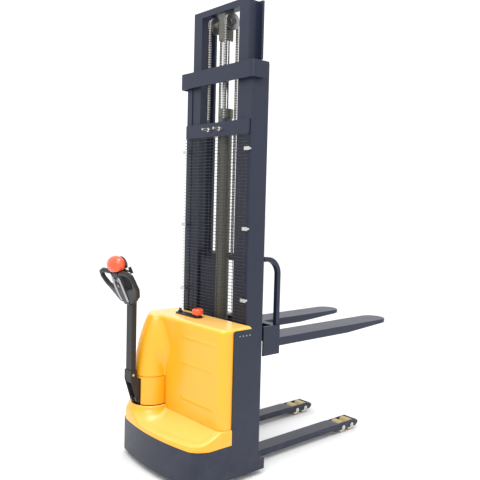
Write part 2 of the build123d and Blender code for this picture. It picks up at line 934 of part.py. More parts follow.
with BuildPart() as piston_rod:
    post(barrel_x, 0, rod_bottom, rod_top, rod_radius)
    piston_radius = barrel_radius - barrel_wall - joint_gap
    post(barrel_x, 0, rod_bottom, rod_bottom + piston_length, piston_radius)
save(piston_rod, "piston_rod")

with BuildPart() as sheave_bracket:
    block(
        sheave_x - sheave_pin_radius - cover_wall, barrel_x + rod_radius + running_gap,
        -bracket_half, bracket_half,
        rod_top, tie_low,
    )
    fillet(edges().filter_by(Axis.Z), radius=bracket_corner)
    cross_pin(sheave_x, sheave_z, -sheave_pin_half, sheave_pin_half, sheave_pin_radius)
    for side in (-1, 1):
        hub = sheave_y - sheave_width / 2 - joint_gap
        keeper = sheave_y + sheave_width / 2 + joint_gap
        hub_radius = sheave_pin_radius + sheave_hub_out
        keeper_radius = sheave_pin_radius + sheave_keeper_out
        ring_pin(sheave_x, sheave_z, 0, side, bracket_half, hub, hub_radius)
        ring_pin(sheave_x, sheave_z, 0, side, keeper, sheave_pin_half, keeper_radius)
save(sheave_bracket, "sheave_bracket")

with BuildPart() as chain_sheaves:
    rim = sheave_radius + chain_thick / 2 + 2
    root = sheave_radius - chain_thick / 2 - joint_gap
    half = sheave_width / 2
    groove = chain_width / 2 + 1
    for side in (-1, 1):
        with BuildSketch(level(sheave_z, sheave_x, side * sheave_y)):
            with BuildLine():
                Polyline(
                    (sheave_pin_radius + running_gap, -half), (rim, -half), (rim, -groove),
                    (root, -groove), (root, groove), (rim, groove), (rim, half),
                    (sheave_pin_radius + running_gap, half),
                    close=True,
                )
            make_face()
        revolve(axis=Axis(at(sheave_x, side * sheave_y, sheave_z), (0, 1, 0)))
save(chain_sheaves, "chain_sheaves")

with BuildPart() as chain_anchor_runs:
    rear_run = sheave_x - sheave_radius
    for side in (-1, 1):
        block(
            rear_run - chain_thick / 2, rear_run + chain_thick / 2,
            side * sheave_y - chain_width / 2, side * sheave_y + chain_width / 2,
            lower_beam_high + chain_anchor_high, sheave_z,
        )
save(chain_anchor_runs, "chain_anchor_runs")

# ---------------------------------------------------------------- fork carriage
with BuildPart() as carriage_frame:
    bar_rear = shank_rear - carriage_bar_wall
    for side in (-1, 1):
        outboard = side * (carriage_plate_y + carriage_plate_wall / 2)
        with BuildSketch(upright(side * carriage_plate_y)):
            with BuildLine():
                Polyline(
                    (20, carriage_low + 60), (80, carriage_low), (bar_rear, leg_clear_z),
                    (bar_rear, shank_high + 60), (146, shank_high + 160),
                    (146, carriage_high), (20, carriage_high),
                    close=True,
                )
            make_face()
        extrude(amount=carriage_plate_wall / 2, both=True)
        lug = side * (sheave_y - 14)
        block(
            barrel_x, barrel_x + lug_depth,
            min(lug, outboard), max(lug, outboard),
            carriage_high - lug_high, carriage_high,
        )
        cheek = side * (fork_half - carriage_cheek_wall)
        block(
            carriage_cheek_rear, shank_rear,
            min(cheek, side * fork_half), max(cheek, side * fork_half),
            shank_low, shank_high,
        )
    block(bar_rear, shank_rear, -fork_half, fork_half, leg_clear_z, shank_high)
    block(
        guard_end_x - guard_bar / 2, guard_end_x + guard_bar / 2,
        -guard_bar_y + guard_bar / 2, guard_bar_y - guard_bar / 2,
        carriage_high - guard_bar, carriage_high,
    )
save(carriage_frame, "carriage_frame")

with BuildPart() as carriage_rollers:
    for side in (-1, 1):
        plate_face = carriage_plate_y + carriage_plate_wall / 2
        far = inner_half - inner_flange / 2 - inner_web / 2 - roller_gap
        for z in (carriage_roller_low, carriage_roller_high):
            ring_pin(roller_x, z, 0, side, plate_face, far, fixed_roller_radius)
save(carriage_rollers, "carriage_rollers")

for side, name in ((-1, "fork_right"), (1, "fork_left")):
    centre = side * (fork_half - fork_width / 2)
    with BuildPart() as fork:
        half = fork_width / 2
        with BuildSketch(level(fork_top - fork_height)):
            with BuildLine():
                Line((shank_rear, centre - half), (fork_nose, centre - half))
                ThreePointArc((fork_nose, centre - half), (fork_tip, centre), (fork_nose, centre + half))
                Line((fork_nose, centre + half), (shank_rear, centre + half))
                Line((shank_rear, centre + half), (shank_rear, centre - half))
            make_face()
        extrude(amount=fork_height)
        fillet(edges().group_by(Axis.Z)[-1].sort_by(Axis.X)[1:], radius=fork_round)
        with BuildSketch(upright(centre)):
            with BuildLine():
                Polyline(
                    (fork_sole, fork_top - fork_height - through),
                    (fork_tip + through, fork_top - fork_nose_height),
                    (fork_tip + through, fork_top - fork_height - through),
                    close=True,
                )
            make_face()
        extrude(amount=fork_width, both=True, mode=Mode.SUBTRACT)
        block(
            shank_front, fork_nose - fork_wall,
            centre - half + fork_wall, centre + half - fork_wall,
            fork_top - fork_height - through, fork_top - fork_wall,
            mode=Mode.SUBTRACT,
        )
        block(shank_rear, shank_front, centre - half, centre + half, shank_low, shank_high)
        block(
            shank_rear - through, shank_front - fork_wall,
            centre - half + fork_wall, centre + half - fork_wall,
            shank_low - through, shank_high - fork_wall,
            mode=Mode.SUBTRACT,
        )
        block(
            shank_rear - through, shank_front + through,
            centre - half + fork_wall, centre + half - fork_wall,
            shank_low - through, leg_clear_z,
            mode=Mode.SUBTRACT,
        )
    save(fork, name)

with BuildPart() as guard_bars:
    for side in (-1, 1):
        with BuildSketch(upright(side * guard_bar_y)):
            with BuildLine() as bar_path:
                FilletPolyline(
                    (guard_end_x - guard_bar / 2, carriage_high - guard_bar / 2),
                    (shank_front - guard_bar / 2, carriage_high - guard_bar / 2),
                    (shank_front - guard_bar / 2, shank_high),
                    radius=guard_bar_bend,
                )
            trace(line_width=guard_bar)
        extrude(amount=guard_bar / 2, both=True)
save(guard_bars, "guard_bars")

with BuildPart() as chain_carriage_runs:
    front_run = sheave_x + sheave_radius
    for side in (-1, 1):
        block(
            front_run - chain_thick / 2, front_run + chain_thick / 2,
            side * sheave_y - chain_width / 2, side * sheave_y + chain_width / 2,
            carriage_high, sheave_z,
        )
save(chain_carriage_runs, "chain_carriage_runs")

# ---------------------------------------------------------------- drive unit
ring_top = deck_top + ring_high
with BuildPart() as drive_housing:
    post(steer_x, steer_y, housing_low, ring_top, ring_radius)
    post(steer_x, steer_y, deck_top + joint_gap, ring_top, ring_radius + ring_flange)
    arm_near = drive_wheel_width / 2 + housing_gap
    arm_far = arm_near + housing_wall
    block(
        steer_x - housing_half, steer_x + housing_half,
        steer_y + arm_near, steer_y + arm_far,
        drive_wheel_radius, housing_low,
    )
    boss_radius = drive_hub_radius - skirt_wall
    cross_pin(steer_x, drive_wheel_radius, steer_y + arm_near, steer_y + arm_far, boss_radius)
    cross_pin(
        steer_x, drive_wheel_radius,
        steer_y - drive_wheel_width / 2, steer_y + arm_near,
        drive_axle_radius,
    )
save(drive_housing, "drive_housing")

with BuildPart() as drive_motor:
    post(steer_x, steer_y, ring_top, motor_top, motor_radius)
    chamfer(edges().filter_by(GeomType.CIRCLE).group_by(Axis.Z)[-1], length=motor_bevel)
save(drive_motor, "drive_motor")

with BuildPart() as steering_drum:
    post(steer_x, steer_y, drum_low, drum_high, drum_radius)
    post(
        steer_x, steer_y,
        drum_low - through, drum_high - drum_wall,
        drum_radius - drum_wall,
        mode=Mode.SUBTRACT,
    )
    block(
        steer_x - drum_radius - through, steer_x - motor_radius - motor_bevel,
        steer_y - drum_slot / 2, steer_y + drum_slot / 2,
        drum_low - through, drum_high - drum_bridge,
        mode=Mode.SUBTRACT,
    )
save(steering_drum, "steering_drum")

clevis_rear = pivot_x + 2.0
with BuildPart() as tiller_clevis:
    for side in (-1, 1):
        with BuildSketch(upright(steer_y + side * clevis_y)):
            with BuildLine():
                Polyline(
                    (clevis_rear, ring_top), (clevis_front, ring_top), (clevis_front, clevis_top),
                    (pivot_x + pivot_boss - through, pivot_z + pivot_boss / 2), (clevis_rear, pivot_z),
                    close=True,
                )
            make_face()
            with Locations((pivot_x, pivot_z)):
                Circle(pivot_boss)
                Circle(pivot_radius + joint_gap, mode=Mode.SUBTRACT)
        extrude(amount=clevis_wall / 2, both=True)
    inside = clevis_y - clevis_wall / 2
    block(
        clevis_rear, clevis_front,
        steer_y - inside, steer_y + inside,
        ring_top, ring_top + clevis_foot,
    )
    reach = arm_width / 2 + joint_gap + bracket_wall + pin_head
    cross_pin(pivot_x, pivot_z, steer_y - reach, steer_y + reach, pivot_radius)
    for side in (-1, 1):
        ring_pin(
            pivot_x, pivot_z, steer_y, side,
            reach - pin_head + joint_gap, reach + pin_head,
            pivot_radius + pin_head,
        )
save(tiller_clevis, "tiller_clevis")

with BuildPart() as drive_wheel_hub:
    cross_pin(
        steer_x, drive_wheel_radius,
        steer_y - drive_wheel_width / 2, steer_y + drive_wheel_width / 2,
        drive_hub_radius,
    )
    cross_pin(
        steer_x, drive_wheel_radius,
        steer_y - drive_wheel_width, steer_y + drive_wheel_width,
        drive_axle_radius + running_gap,
        mode=Mode.SUBTRACT,
    )
save(drive_wheel_hub, "drive_wheel_hub")

with BuildPart() as drive_wheel_tyre:
    cross_pin(
        steer_x, drive_wheel_radius,
        steer_y - drive_wheel_width / 2, steer_y + drive_wheel_width / 2,
        drive_wheel_radius,
    )
    fillet(edges().filter_by(GeomType.CIRCLE), radius=tread_round)
    cross_pin(
        steer_x, drive_wheel_radius,
        steer_y - drive_wheel_width, steer_y + drive_wheel_width,
        drive_hub_radius,
        mode=Mode.SUBTRACT,
    )
save(drive_wheel_tyre, "drive_wheel_tyre")

# ---------------------------------------------------------------- tiller
bracket_rear = tiller_x - arm_depth / 2 - bracket_wall
bracket_front = tiller_x + arm_depth / 2 + bracket_wall / 2
with BuildPart() as tiller_bracket:
    for side in (-1, 1):
        plate_y = steer_y + side * (arm_width / 2 + joint_gap + bracket_wall / 2)
        with BuildSketch(upright(plate_y)):
            with BuildLine():
                Polyline(
                    (bracket_rear, bracket_high),
                    (bracket_rear, arm_low + pivot_boss),
                    (pivot_x - pivot_boss, pivot_z),
                    (pivot_x, pivot_z - pivot_boss),
                    (pivot_x + pivot_boss, pivot_z),
                    (pivot_x + pivot_boss + bracket_wall, arm_low - 2 * bracket_wall),
                    (bracket_front, arm_low + arm_depth),
                    (bracket_front, bracket_high),
                    close=True,
                )
            make_face()
            with Locations((pivot_x, pivot_z)):
                Circle(pivot_boss)
                Circle(pivot_radius + running_gap, mode=Mode.SUBTRACT)
        extrude(amount=bracket_wall / 2, both=True)
    block(
        bracket_rear, bracket_rear + bracket_wall - joint_gap,
        steer_y - arm_width / 2 - through, steer_y + arm_width / 2 + through,
        arm_low + pivot_boss, bracket_high,
    )
save(tiller_bracket, "tiller_bracket")

with BuildPart() as tiller_arm:
    with BuildSketch(level(arm_low)):
        with Locations((tiller_x, steer_y)):
            RectangleRounded(arm_depth, arm_width, arm_corner)
            RectangleRounded(
                arm_depth - 2 * arm_wall, arm_width - 2 * arm_wall,
                arm_corner - arm_wall,
                mode=Mode.SUBTRACT,
            )
    extrude(amount=arm_high - arm_low)
save(tiller_arm, "tiller_arm")

lean = math.radians(head_tilt)
head_up = Vector(-math.sin(lean), 0, math.cos(lean))
head_out = Vector(math.cos(lean), 0, math.sin(lean))


def head_plane(out=0.0, along=0.0):
    """Plane of the tiller head: local x to the left, local y along the head."""
    origin = Vector(*at(tiller_x, steer_y, arm_high)) + head_out * out + head_up * along
    return Plane(origin=origin, x_dir=(0, 1, 0), z_dir=head_out)


def head_section(along):
    """Plane square across the tiller head at a distance along it."""
    return Plane(origin=head_plane(along=along).origin, z_dir=head_up)


with BuildPart() as head_body:
    with BuildSketch(head_plane(out=head_out_by)):
        with BuildLine():
            Spline((-33, 0), (-35, 30), (-47, 86), (-46, 150), (-34, head_length))
            Line((-34, head_length), (34, head_length))
            Spline((34, head_length), (46, 150), (47, 86), (35, 30), (33, 0))
            Line((33, 0), (-33, 0))
        make_face()
    extrude(amount=head_depth / 2, both=True)
    block(
        tiller_x - arm_depth / 2, tiller_x + arm_depth / 2,
        steer_y - arm_width / 2, steer_y + arm_width / 2,
        arm_high - arm_socket, arm_high,
        mode=Mode.SUBTRACT,
    )
    with BuildSketch(head_section(head_length - stem_depth)):
        Circle(stem_radius + joint_gap)
    extrude(amount=stem_depth + through, mode=Mode.SUBTRACT)
    with BuildSketch(head_plane(out=head_out_by - head_depth / 2)):
        with Locations(*button_places.values()):
            Circle(button_radius + joint_gap)
    extrude(amount=button_seat + button_travel + joint_gap, mode=Mode.SUBTRACT)
save(head_body, "head_body")

with BuildPart() as handle_loops:
    for side in (-1, 1):
        with BuildSketch(head_plane(out=-loop_back)):
            with BuildLine() as loop_outer:
                Polyline(
                    (side * 47, 196), (side * 112, 196), (side * (loop_half - 4), 176),
                    (side * loop_half, 126), (side * 148, 84), (side * 60, 8), (side * 47, 40),
                    close=True,
                )
            make_face()
            with BuildLine() as loop_hole:
                Polyline(
                    (side * 62, 166), (side * 136, 150), (side * 140, 112), (side * 66, 96),
                    close=True,
                )
            make_face(mode=Mode.SUBTRACT)
        extrude(amount=loop_thick / 2, both=True)
save(handle_loops, "handle_loops")

with BuildPart() as belly_button:
    with Locations(head_plane(along=knob_along)):
        Sphere(knob_radius)
    split(bisect_by=head_section(head_length + knob_clear), keep=Keep.TOP)
    stem_foot = head_length - stem_depth + stem_stop
    with BuildSketch(head_section(stem_foot)):
        Circle(stem_radius)
    extrude(amount=knob_along - stem_foot)
save(belly_button, "belly_button")

with BuildPart() as thumb_levers:
    with Locations(head_plane(out=lever_out, along=lever_along)):
        Cylinder(lever_radius, lever_span, rotation=(0, 90, 0))
    with Locations(head_plane(out=lever_out, along=tab_along)):
        with Locations((-tab_across, 0, 0), (tab_across, 0, 0)):
            Box(*tab_size)
save(thumb_levers, "thumb_levers")

button_out = head_out_by - head_depth / 2 + button_seat - button_high / 2
for name, (across, along) in button_places.items():
    with BuildPart() as button:
        with Locations(head_plane(out=button_out, along=along)):
            with Locations((across, 0, 0)):
                Cylinder(button_radius, button_high)
        fillet(edges().filter_by(GeomType.CIRCLE), radius=tread_round / 3)
    save(button, name)

# ---------------------------------------------------------------- caster and load wheels
caster_x = steer_x - caster_trail
with BuildPart() as caster_fork:
    low = caster_crown_low
    post(steer_x, -steer_y, low, ring_top, caster_stem_radius - running_gap)
    post(steer_x, -steer_y, deck_top + joint_gap, ring_top, caster_cap_radius)
    post(steer_x, -steer_y, low, deck_bottom - joint_gap, caster_crown_radius)
    for side in (-1, 1):
        plate = -steer_y + side * (caster_width / 2 + caster_plate_gap + caster_plate / 2)
        with BuildSketch(upright(plate)):
            with BuildLine():
                Polyline(
                    (caster_x - caster_boss + through, caster_radius),
                    (steer_x - caster_plate_half, low),
                    (steer_x + caster_plate_half, low),
                    (caster_x + caster_boss - through, caster_radius),
                    close=True,
                )
            make_face()
            with Locations((caster_x, caster_radius)):
                Circle(caster_boss)
        extrude(amount=caster_plate / 2, both=True)
    axle_half = caster_width / 2 + caster_axle_out
    cross_pin(
        caster_x, caster_radius,
        -steer_y - axle_half, -steer_y + axle_half,
        caster_axle_radius,
    )
save(caster_fork, "caster_fork")


def roller_wheel(x, y, radius, width, bore):
    """A plain wheel across the truck with rounded edges and a running bore."""
    cross_pin(x, radius, y - width / 2, y + width / 2, radius)
    fillet(edges().filter_by(GeomType.CIRCLE), radius=tread_round)
    cross_pin(x, radius, y - width, y + width, bore, mode=Mode.SUBTRACT)


with BuildPart() as caster_wheel:
    roller_wheel(caster_x, -steer_y, caster_radius, caster_width, caster_axle_radius + running_gap)
save(caster_wheel, "caster_wheel")

for side, hand in ((-1, "right"), (1, "left")):
    for x, place in zip(load_axle_x, ("rear", "front")):
        with BuildPart() as load_wheel:
            roller_wheel(
                x, side * leg_centre, load_wheel_radius, load_wheel_width,
                load_axle_radius + running_gap,
            )
        save(load_wheel, f"load_wheel_{hand}_{place}")
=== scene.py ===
"""Looks of an electric pedestrian stacker: smooth yellow covers, the tiller head, the wire
guard, chains over the sheaves, fasteners, and the paint, plastic, metal and rubber finishes.

Lengths are in metres. Truck coordinates are x forward from the rear face of the outer mast,
y to the left of the centreline and z up from the floor; truck() turns them into the frame's.
"""

import json
import math

import bmesh
import bpy
import numpy as np
from mathutils import Matrix, Vector


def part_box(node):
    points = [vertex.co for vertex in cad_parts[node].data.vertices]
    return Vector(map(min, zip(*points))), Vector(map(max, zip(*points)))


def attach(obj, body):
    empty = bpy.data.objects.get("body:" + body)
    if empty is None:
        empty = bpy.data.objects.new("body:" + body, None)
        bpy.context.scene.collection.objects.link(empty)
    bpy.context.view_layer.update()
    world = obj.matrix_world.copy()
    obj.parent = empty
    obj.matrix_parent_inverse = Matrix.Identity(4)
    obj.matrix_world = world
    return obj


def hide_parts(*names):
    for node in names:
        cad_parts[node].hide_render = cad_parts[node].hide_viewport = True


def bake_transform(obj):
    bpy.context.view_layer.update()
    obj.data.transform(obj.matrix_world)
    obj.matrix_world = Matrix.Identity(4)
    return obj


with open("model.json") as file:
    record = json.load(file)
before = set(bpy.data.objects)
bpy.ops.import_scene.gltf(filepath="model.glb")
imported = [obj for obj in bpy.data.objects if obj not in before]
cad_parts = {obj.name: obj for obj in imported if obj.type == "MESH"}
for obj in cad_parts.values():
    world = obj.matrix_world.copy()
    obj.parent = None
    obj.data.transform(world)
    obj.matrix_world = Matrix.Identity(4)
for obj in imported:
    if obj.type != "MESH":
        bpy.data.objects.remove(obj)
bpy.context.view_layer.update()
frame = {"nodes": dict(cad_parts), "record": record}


# ---------------------------------------------------------------- places read from the frame
def low(node):
    """Lowest corner of a CAD node."""
    return np.array(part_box(node)[0])


def high(node):
    """Highest corner of a CAD node."""
    return np.array(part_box(node)[1])


def middle(node):
    """Centre of a CAD node's box."""
    return (low(node) + high(node)) / 2


MAST_X = low("mast_rail_left")[0]
MID_Y = middle("rear_skirt")[1]
SHIFT = np.array([MAST_X, MID_Y, 0.0])


def truck(points):
    """Points in truck coordinates, moved into the frame."""
    return np.asarray(points, float) + SHIFT


STEER = middle("steering_drum") - SHIFT
DRUM_RADIUS = (high("steering_drum")[1] - low("steering_drum")[1]) / 2
DRUM_TOP = high("steering_drum")[2]
DRUM_GAP = 0.0015
HALF_WIDTH = (high("rear_skirt")[1] - low("rear_skirt")[1]) / 2
REAR = low("rear_skirt")[0] - MAST_X
SKIRT_TOP = high("rear_skirt")[2]
PANEL = low("batteries")[0] - MAST_X - 0.010
COVER_FRONT = high("main_cover")[0] - MAST_X
COVER_SIDE = (high("main_cover")[1] - low("main_cover")[1]) / 2
COVER_TOP = high("main_cover")[2]
PLINTH_TOP = high("lower_cover")[2]
COVER_FOOT = high("inner_deck")[2] + 0.001
PLATE_REAR = low("side_plate_right")[0] - MAST_X
SHELL_WALL = 0.0035


# ---------------------------------------------------------------- mesh helpers
def piece(name, points, faces, body, slot, material, smooth=True):
    """A mesh object from arrays, with the material given, riding on a body if one is named; the slot is not
    used.
    """
    mesh = bpy.data.meshes.new(name)
    mesh.from_pydata(np.asarray(points, float).tolist(), [], np.asarray(faces).tolist())
    mesh.validate()
    mesh.materials.append(material)
    mesh.polygons.foreach_set("use_smooth", np.full(len(mesh.polygons), smooth))
    thing = bpy.data.objects.new(name, mesh)
    bpy.context.scene.collection.objects.link(thing)
    if body:
        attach(thing, body)
    return thing


def blend_union(a, b, soft):
    """Smooth minimum of two distances: the smaller one, less a bulge where they are nearly equal."""
    share = np.clip(0.5 + 0.5 * (b - a) / soft, 0, 1)
    return b * (1 - share) + a * share - soft * share * (1 - share)


def round_both(a, b, radius):
    """Distance to where two solids overlap, with their common edge rounded to a radius."""
    a, b = a + radius, b + radius
    return np.minimum(np.maximum(a, b), 0) + np.hypot(np.maximum(a, 0), np.maximum(b, 0)) - radius


def outline_distance(u, v, corners):
    """Signed distance in a plane to a closed outline of straight sides: the nearest side's distance,
    negative where an odd number of sides lies to one side of the point."""
    corners = np.asarray(corners, float)
    best = np.full(u.shape, 1e9)
    inside = np.zeros(u.shape, bool)
    for (u0, v0), (u1, v1) in zip(corners, np.roll(corners, -1, axis=0)):
        du, dv = u1 - u0, v1 - v0
        along = np.clip(((u - u0) * du + (v - v0) * dv) / (du * du + dv * dv), 0, 1)
        best = np.minimum(best, np.hypot(u - u0 - along * du, v - v0 - along * dv))
        crosses = (v0 > v) != (v1 > v)
        inside ^= crosses & (u < u0 + (v - v0) * du / (dv + 1e-12))
    return np.where(inside, -best, best)


def skin(field, lowest, highest, step):
    """Points and four-sided faces of the surface where a distance is zero: each grid cube that it
    crosses has one point, at the mean of the crossings on the cube's edges, and each crossed grid
    edge has a face that joins the four cubes round it, facing away from the inside."""
    axes = [np.arange(lowest[i], highest[i] + step, step) for i in range(3)]
    value = field(*np.meshgrid(*axes, indexing="ij"))
    shape = np.array(value.shape)
    total = np.zeros((*(shape + 1), 3))
    count = np.zeros(shape + 1, int)
    edges = []
    for axis in range(3):
        first = np.moveaxis(value, axis, 0)[:-1]
        last = np.moveaxis(value, axis, 0)[1:]
        crossed = np.argwhere(np.moveaxis((first < 0) != (last < 0), 0, axis))
        here = value[tuple(crossed.T)]
        ahead = crossed.copy()
        ahead[:, axis] += 1
        there = value[tuple(ahead.T)]
        place = crossed.astype(float)
        place[:, axis] += here / (here - there)
        others = [(axis + 1) % 3, (axis + 2) % 3]
        ring = []
        for back_a, back_b in ((1, 1), (0, 1), (0, 0), (1, 0)):
            cube = crossed + 1
            cube[:, others[0]] -= back_a
            cube[:, others[1]] -= back_b
            np.add.at(total, tuple(cube.T), place)
            np.add.at(count, tuple(cube.T), 1)
            ring.append(np.ravel_multi_index(tuple(cube.T), count.shape))
        ring = np.array(ring).T
        edges.append(np.where((here < 0)[:, None], ring, ring[:, ::-1]))
    used = np.flatnonzero(count.ravel())
    number = np.full(count.size, -1)
    number[used] = np.arange(len(used))
    points = total.reshape(-1, 3)[used] / count.ravel()[used][:, None]
    return points * step + np.asarray(lowest, float), number[np.vstack(edges)]


def trim(thing, *cuts):
    """Cuts a mesh by planes, each a point and the direction whose side is taken off."""
    work = bmesh.new()
    work.from_mesh(thing.data)
    for point, direction in cuts:
        geometry = work.verts[:] + work.edges[:] + work.faces[:]
        bmesh.ops.bisect_plane(
            work, geom=geometry, plane_co=truck(point), plane_no=direction, clear_outer=True
        )
    work.to_mesh(thing.data)
    work.free()


def give_wall(thing, thickness):
    """Turns an open skin into a closed shell, with its wall inside the skin."""
    wall = thing.modifiers.new("wall", "SOLIDIFY")
    wall.thickness = thickness
    wall.offset = -1
    relaxed = thing.modifiers.new("relaxed", "SMOOTH")
    relaxed.factor = 0.4
    relaxed.iterations = 2


def lathe(profile, centre, axis, sides):
    """Points and faces of a turned shape: each (radius, station) of the profile makes one ring
    about the axis, and rings of no radius close the ends."""
    axis = np.asarray(axis, float) / np.linalg.norm(axis)
    across = np.cross(axis, [0.0, 0.0, 1.0] if abs(axis[2]) < 0.9 else [1.0, 0.0, 0.0])
    across /= np.linalg.norm(across)
    upward = np.cross(axis, across)
    turn = np.arange(sides) * 2 * math.pi / sides
    radius, station = np.asarray(profile, float).T
    circle = np.cos(turn)[:, None] * across + np.sin(turn)[:, None] * upward
    points = radius[:, None, None] * circle[None] + (station[:, None] * axis)[:, None]
    rows = len(radius)
    i, j = np.meshgrid(np.arange(rows - 1), np.arange(sides), indexing="ij")
    ahead = (j + 1) % sides
    faces = np.stack([i * sides + j, i * sides + ahead, (i + 1) * sides + ahead, (i + 1) * sides + j], -1)
    return points.reshape(-1, 3) + np.asarray(centre, float), faces.reshape(-1, 4)


def repeat(points, faces, places):
    """One shape's points and faces, copied to each place."""
    places = np.asarray(places, float)
    many = (points[None] + places[:, None]).reshape(-1, 3)
    offsets = np.arange(len(places)) * len(points)
    return many, (faces[None] + offsets[:, None, None]).reshape(-1, faces.shape[1])


def join(*parts):
    """Several points-and-faces pairs as one pair."""
    points, faces, start = [], [], 0
    for some_points, some_faces in parts:
        points.append(some_points)
        faces.append(some_faces + start)
        start += len(some_points)
    return np.vstack(points), np.vstack(faces)


def rods(starts, reach, radius, sides=6):
    """Equal straight rods, each from its start along the same reach, with closed ends."""
    length = np.linalg.norm(reach)
    profile = [(0, 0), (radius, 0), (radius, length), (0, length)]
    return repeat(*lathe(profile, (0, 0, 0), reach, sides), starts)


def bolt_heads(places, direction, radius=0.009, height=0.006):
    """Hexagon heads on round washers: a six-sided turned head above a many-sided washer."""
    wide, thin = radius * 1.35, height * 0.28
    washer = lathe([(0, 0), (wide, 0), (wide, thin), (0, thin)], (0, 0, 0), direction, 20)
    head = lathe(
        [(0, thin), (radius, thin), (radius, height * 0.8), (radius * 0.84, height), (0, height)],
        (0, 0, 0), direction, 6,
    )
    return repeat(*join(washer, head), truck(places))


# ---------------------------------------------------------------- shader helpers
def add(tree, kind, **sockets):
    """A node with its named sockets set, or linked where a socket is given."""
    made = tree.nodes.new(kind)
    for name, value in sockets.items():
        socket = made.inputs[name.replace("_", " ")]
        if isinstance(value, bpy.types.NodeSocket):
            tree.links.new(value, socket)
        else:
            socket.default_value = value
    return made


def arithmetic(tree, operation, first, second=0.5):
    """A Math node's result."""
    made = tree.nodes.new("ShaderNodeMath")
    made.operation = operation
    for socket, value in zip(made.inputs, (first, second)):
        if isinstance(value, bpy.types.NodeSocket):
            tree.links.new(value, socket)
        else:
            socket.default_value = value
    return made.outputs[0]


def mix_colour(tree, share, first, second, mode="MIX"):
    """A colour between two colours."""
    made = tree.nodes.new("ShaderNodeMix")
    made.data_type = "RGBA"
    made.blend_type = mode
    for index, value in ((0, share), (6, first), (7, second)):
        socket = made.inputs[index]
        if isinstance(value, bpy.types.NodeSocket):
            tree.links.new(value, socket)
        else:
            socket.default_value = (*value, 1) if isinstance(value, tuple) and len(value) == 3 else value
    return made.outputs[2]


def span(tree, value, start, end):
    """A value stretched so that start becomes 0 and end becomes 1, and held between them."""
    made = tree.nodes.new("ShaderNodeMapRange")
    tree.links.new(value, made.inputs["Value"])
    made.inputs["From Min"].default_value = start
    made.inputs["From Max"].default_value = end
    return made.outputs["Result"]


def new_group(name, inputs, outputs):
    """An empty node group with its sockets, and its input and output nodes."""
    tree = bpy.data.node_groups.new(name, "ShaderNodeTree")
    for label, kind, value in inputs:
        socket = tree.interface.new_socket(label, in_out="INPUT", socket_type=kind)
        if value is not None:
            socket.default_value = value
    for label, kind in outputs:
        tree.interface.new_socket(label, in_out="OUTPUT", socket_type=kind)
    return tree, tree.nodes.new("NodeGroupInput").outputs, tree.nodes.new("NodeGroupOutput").inputs


COLOUR, NUMBER, VECTOR = "NodeSocketColor", "NodeSocketFloat", "NodeSocketVector"


def mottle_group():
    """Colour that drifts a little: broad clouds and fine speckle brighten or darken it."""
    tree, given, out = new_group(
        "Mottled colour",
        [("Place", VECTOR, None), ("Colour", COLOUR, (1, 1, 1, 1)), ("Amount", NUMBER, 0.1)],
        [("Colour", COLOUR)],
    )
    clouds = add(tree, "ShaderNodeTexNoise", Vector=given["Place"], Scale=5.5, Detail=4.0)
    speckle = add(tree, "ShaderNodeTexNoise", Vector=given["Place"], Scale=240.0, Detail=2.0)
    both = arithmetic(tree, "ADD", clouds.outputs["Fac"], speckle.outputs["Fac"])
    drift = arithmetic(tree, "MULTIPLY", arithmetic(tree, "SUBTRACT", both, 1.0), given["Amount"])
    factor = arithmetic(tree, "ADD", drift, 1.0)
    scaled = tree.nodes.new("ShaderNodeVectorMath")
    scaled.operation = "SCALE"
    tree.links.new(given["Colour"], scaled.inputs[0])
    tree.links.new(factor, scaled.inputs["Scale"])
    tree.links.new(scaled.outputs[0], out["Colour"])
    return tree


def edge_group():
    """Normal rounded at sharp edges, and a mask of where the edges have rubbed: the rounded normal
    turns away from the flat one there, broken up by noise."""
    tree, given, out = new_group(
        "Rubbed edges",
        [("Place", VECTOR, None), ("Radius", NUMBER, 0.0015), ("Amount", NUMBER, 0.3)],
        [("Mask", NUMBER), ("Normal", VECTOR)],
    )
    rounded = tree.nodes.new("ShaderNodeBevel")
    rounded.samples = 4
    tree.links.new(given["Radius"], rounded.inputs["Radius"])
    flat = tree.nodes.new("ShaderNodeNewGeometry")
    turned = tree.nodes.new("ShaderNodeVectorMath")
    turned.operation = "DOT_PRODUCT"
    tree.links.new(rounded.outputs["Normal"], turned.inputs[0])
    tree.links.new(flat.outputs["Normal"], turned.inputs[1])
    away = arithmetic(tree, "SUBTRACT", 1.0, turned.outputs["Value"])
    patches = add(tree, "ShaderNodeTexNoise", Vector=given["Place"], Scale=38.0, Detail=6.0)
    edge = span(tree, away, 0.02, 0.16)
    broken = span(tree, patches.outputs["Fac"], 0.46, 0.62)
    mask = arithmetic(tree, "MULTIPLY", arithmetic(tree, "MULTIPLY", edge, broken), given["Amount"])
    tree.links.new(mask, out["Mask"])
    tree.links.new(rounded.outputs["Normal"], out["Normal"])
    return tree


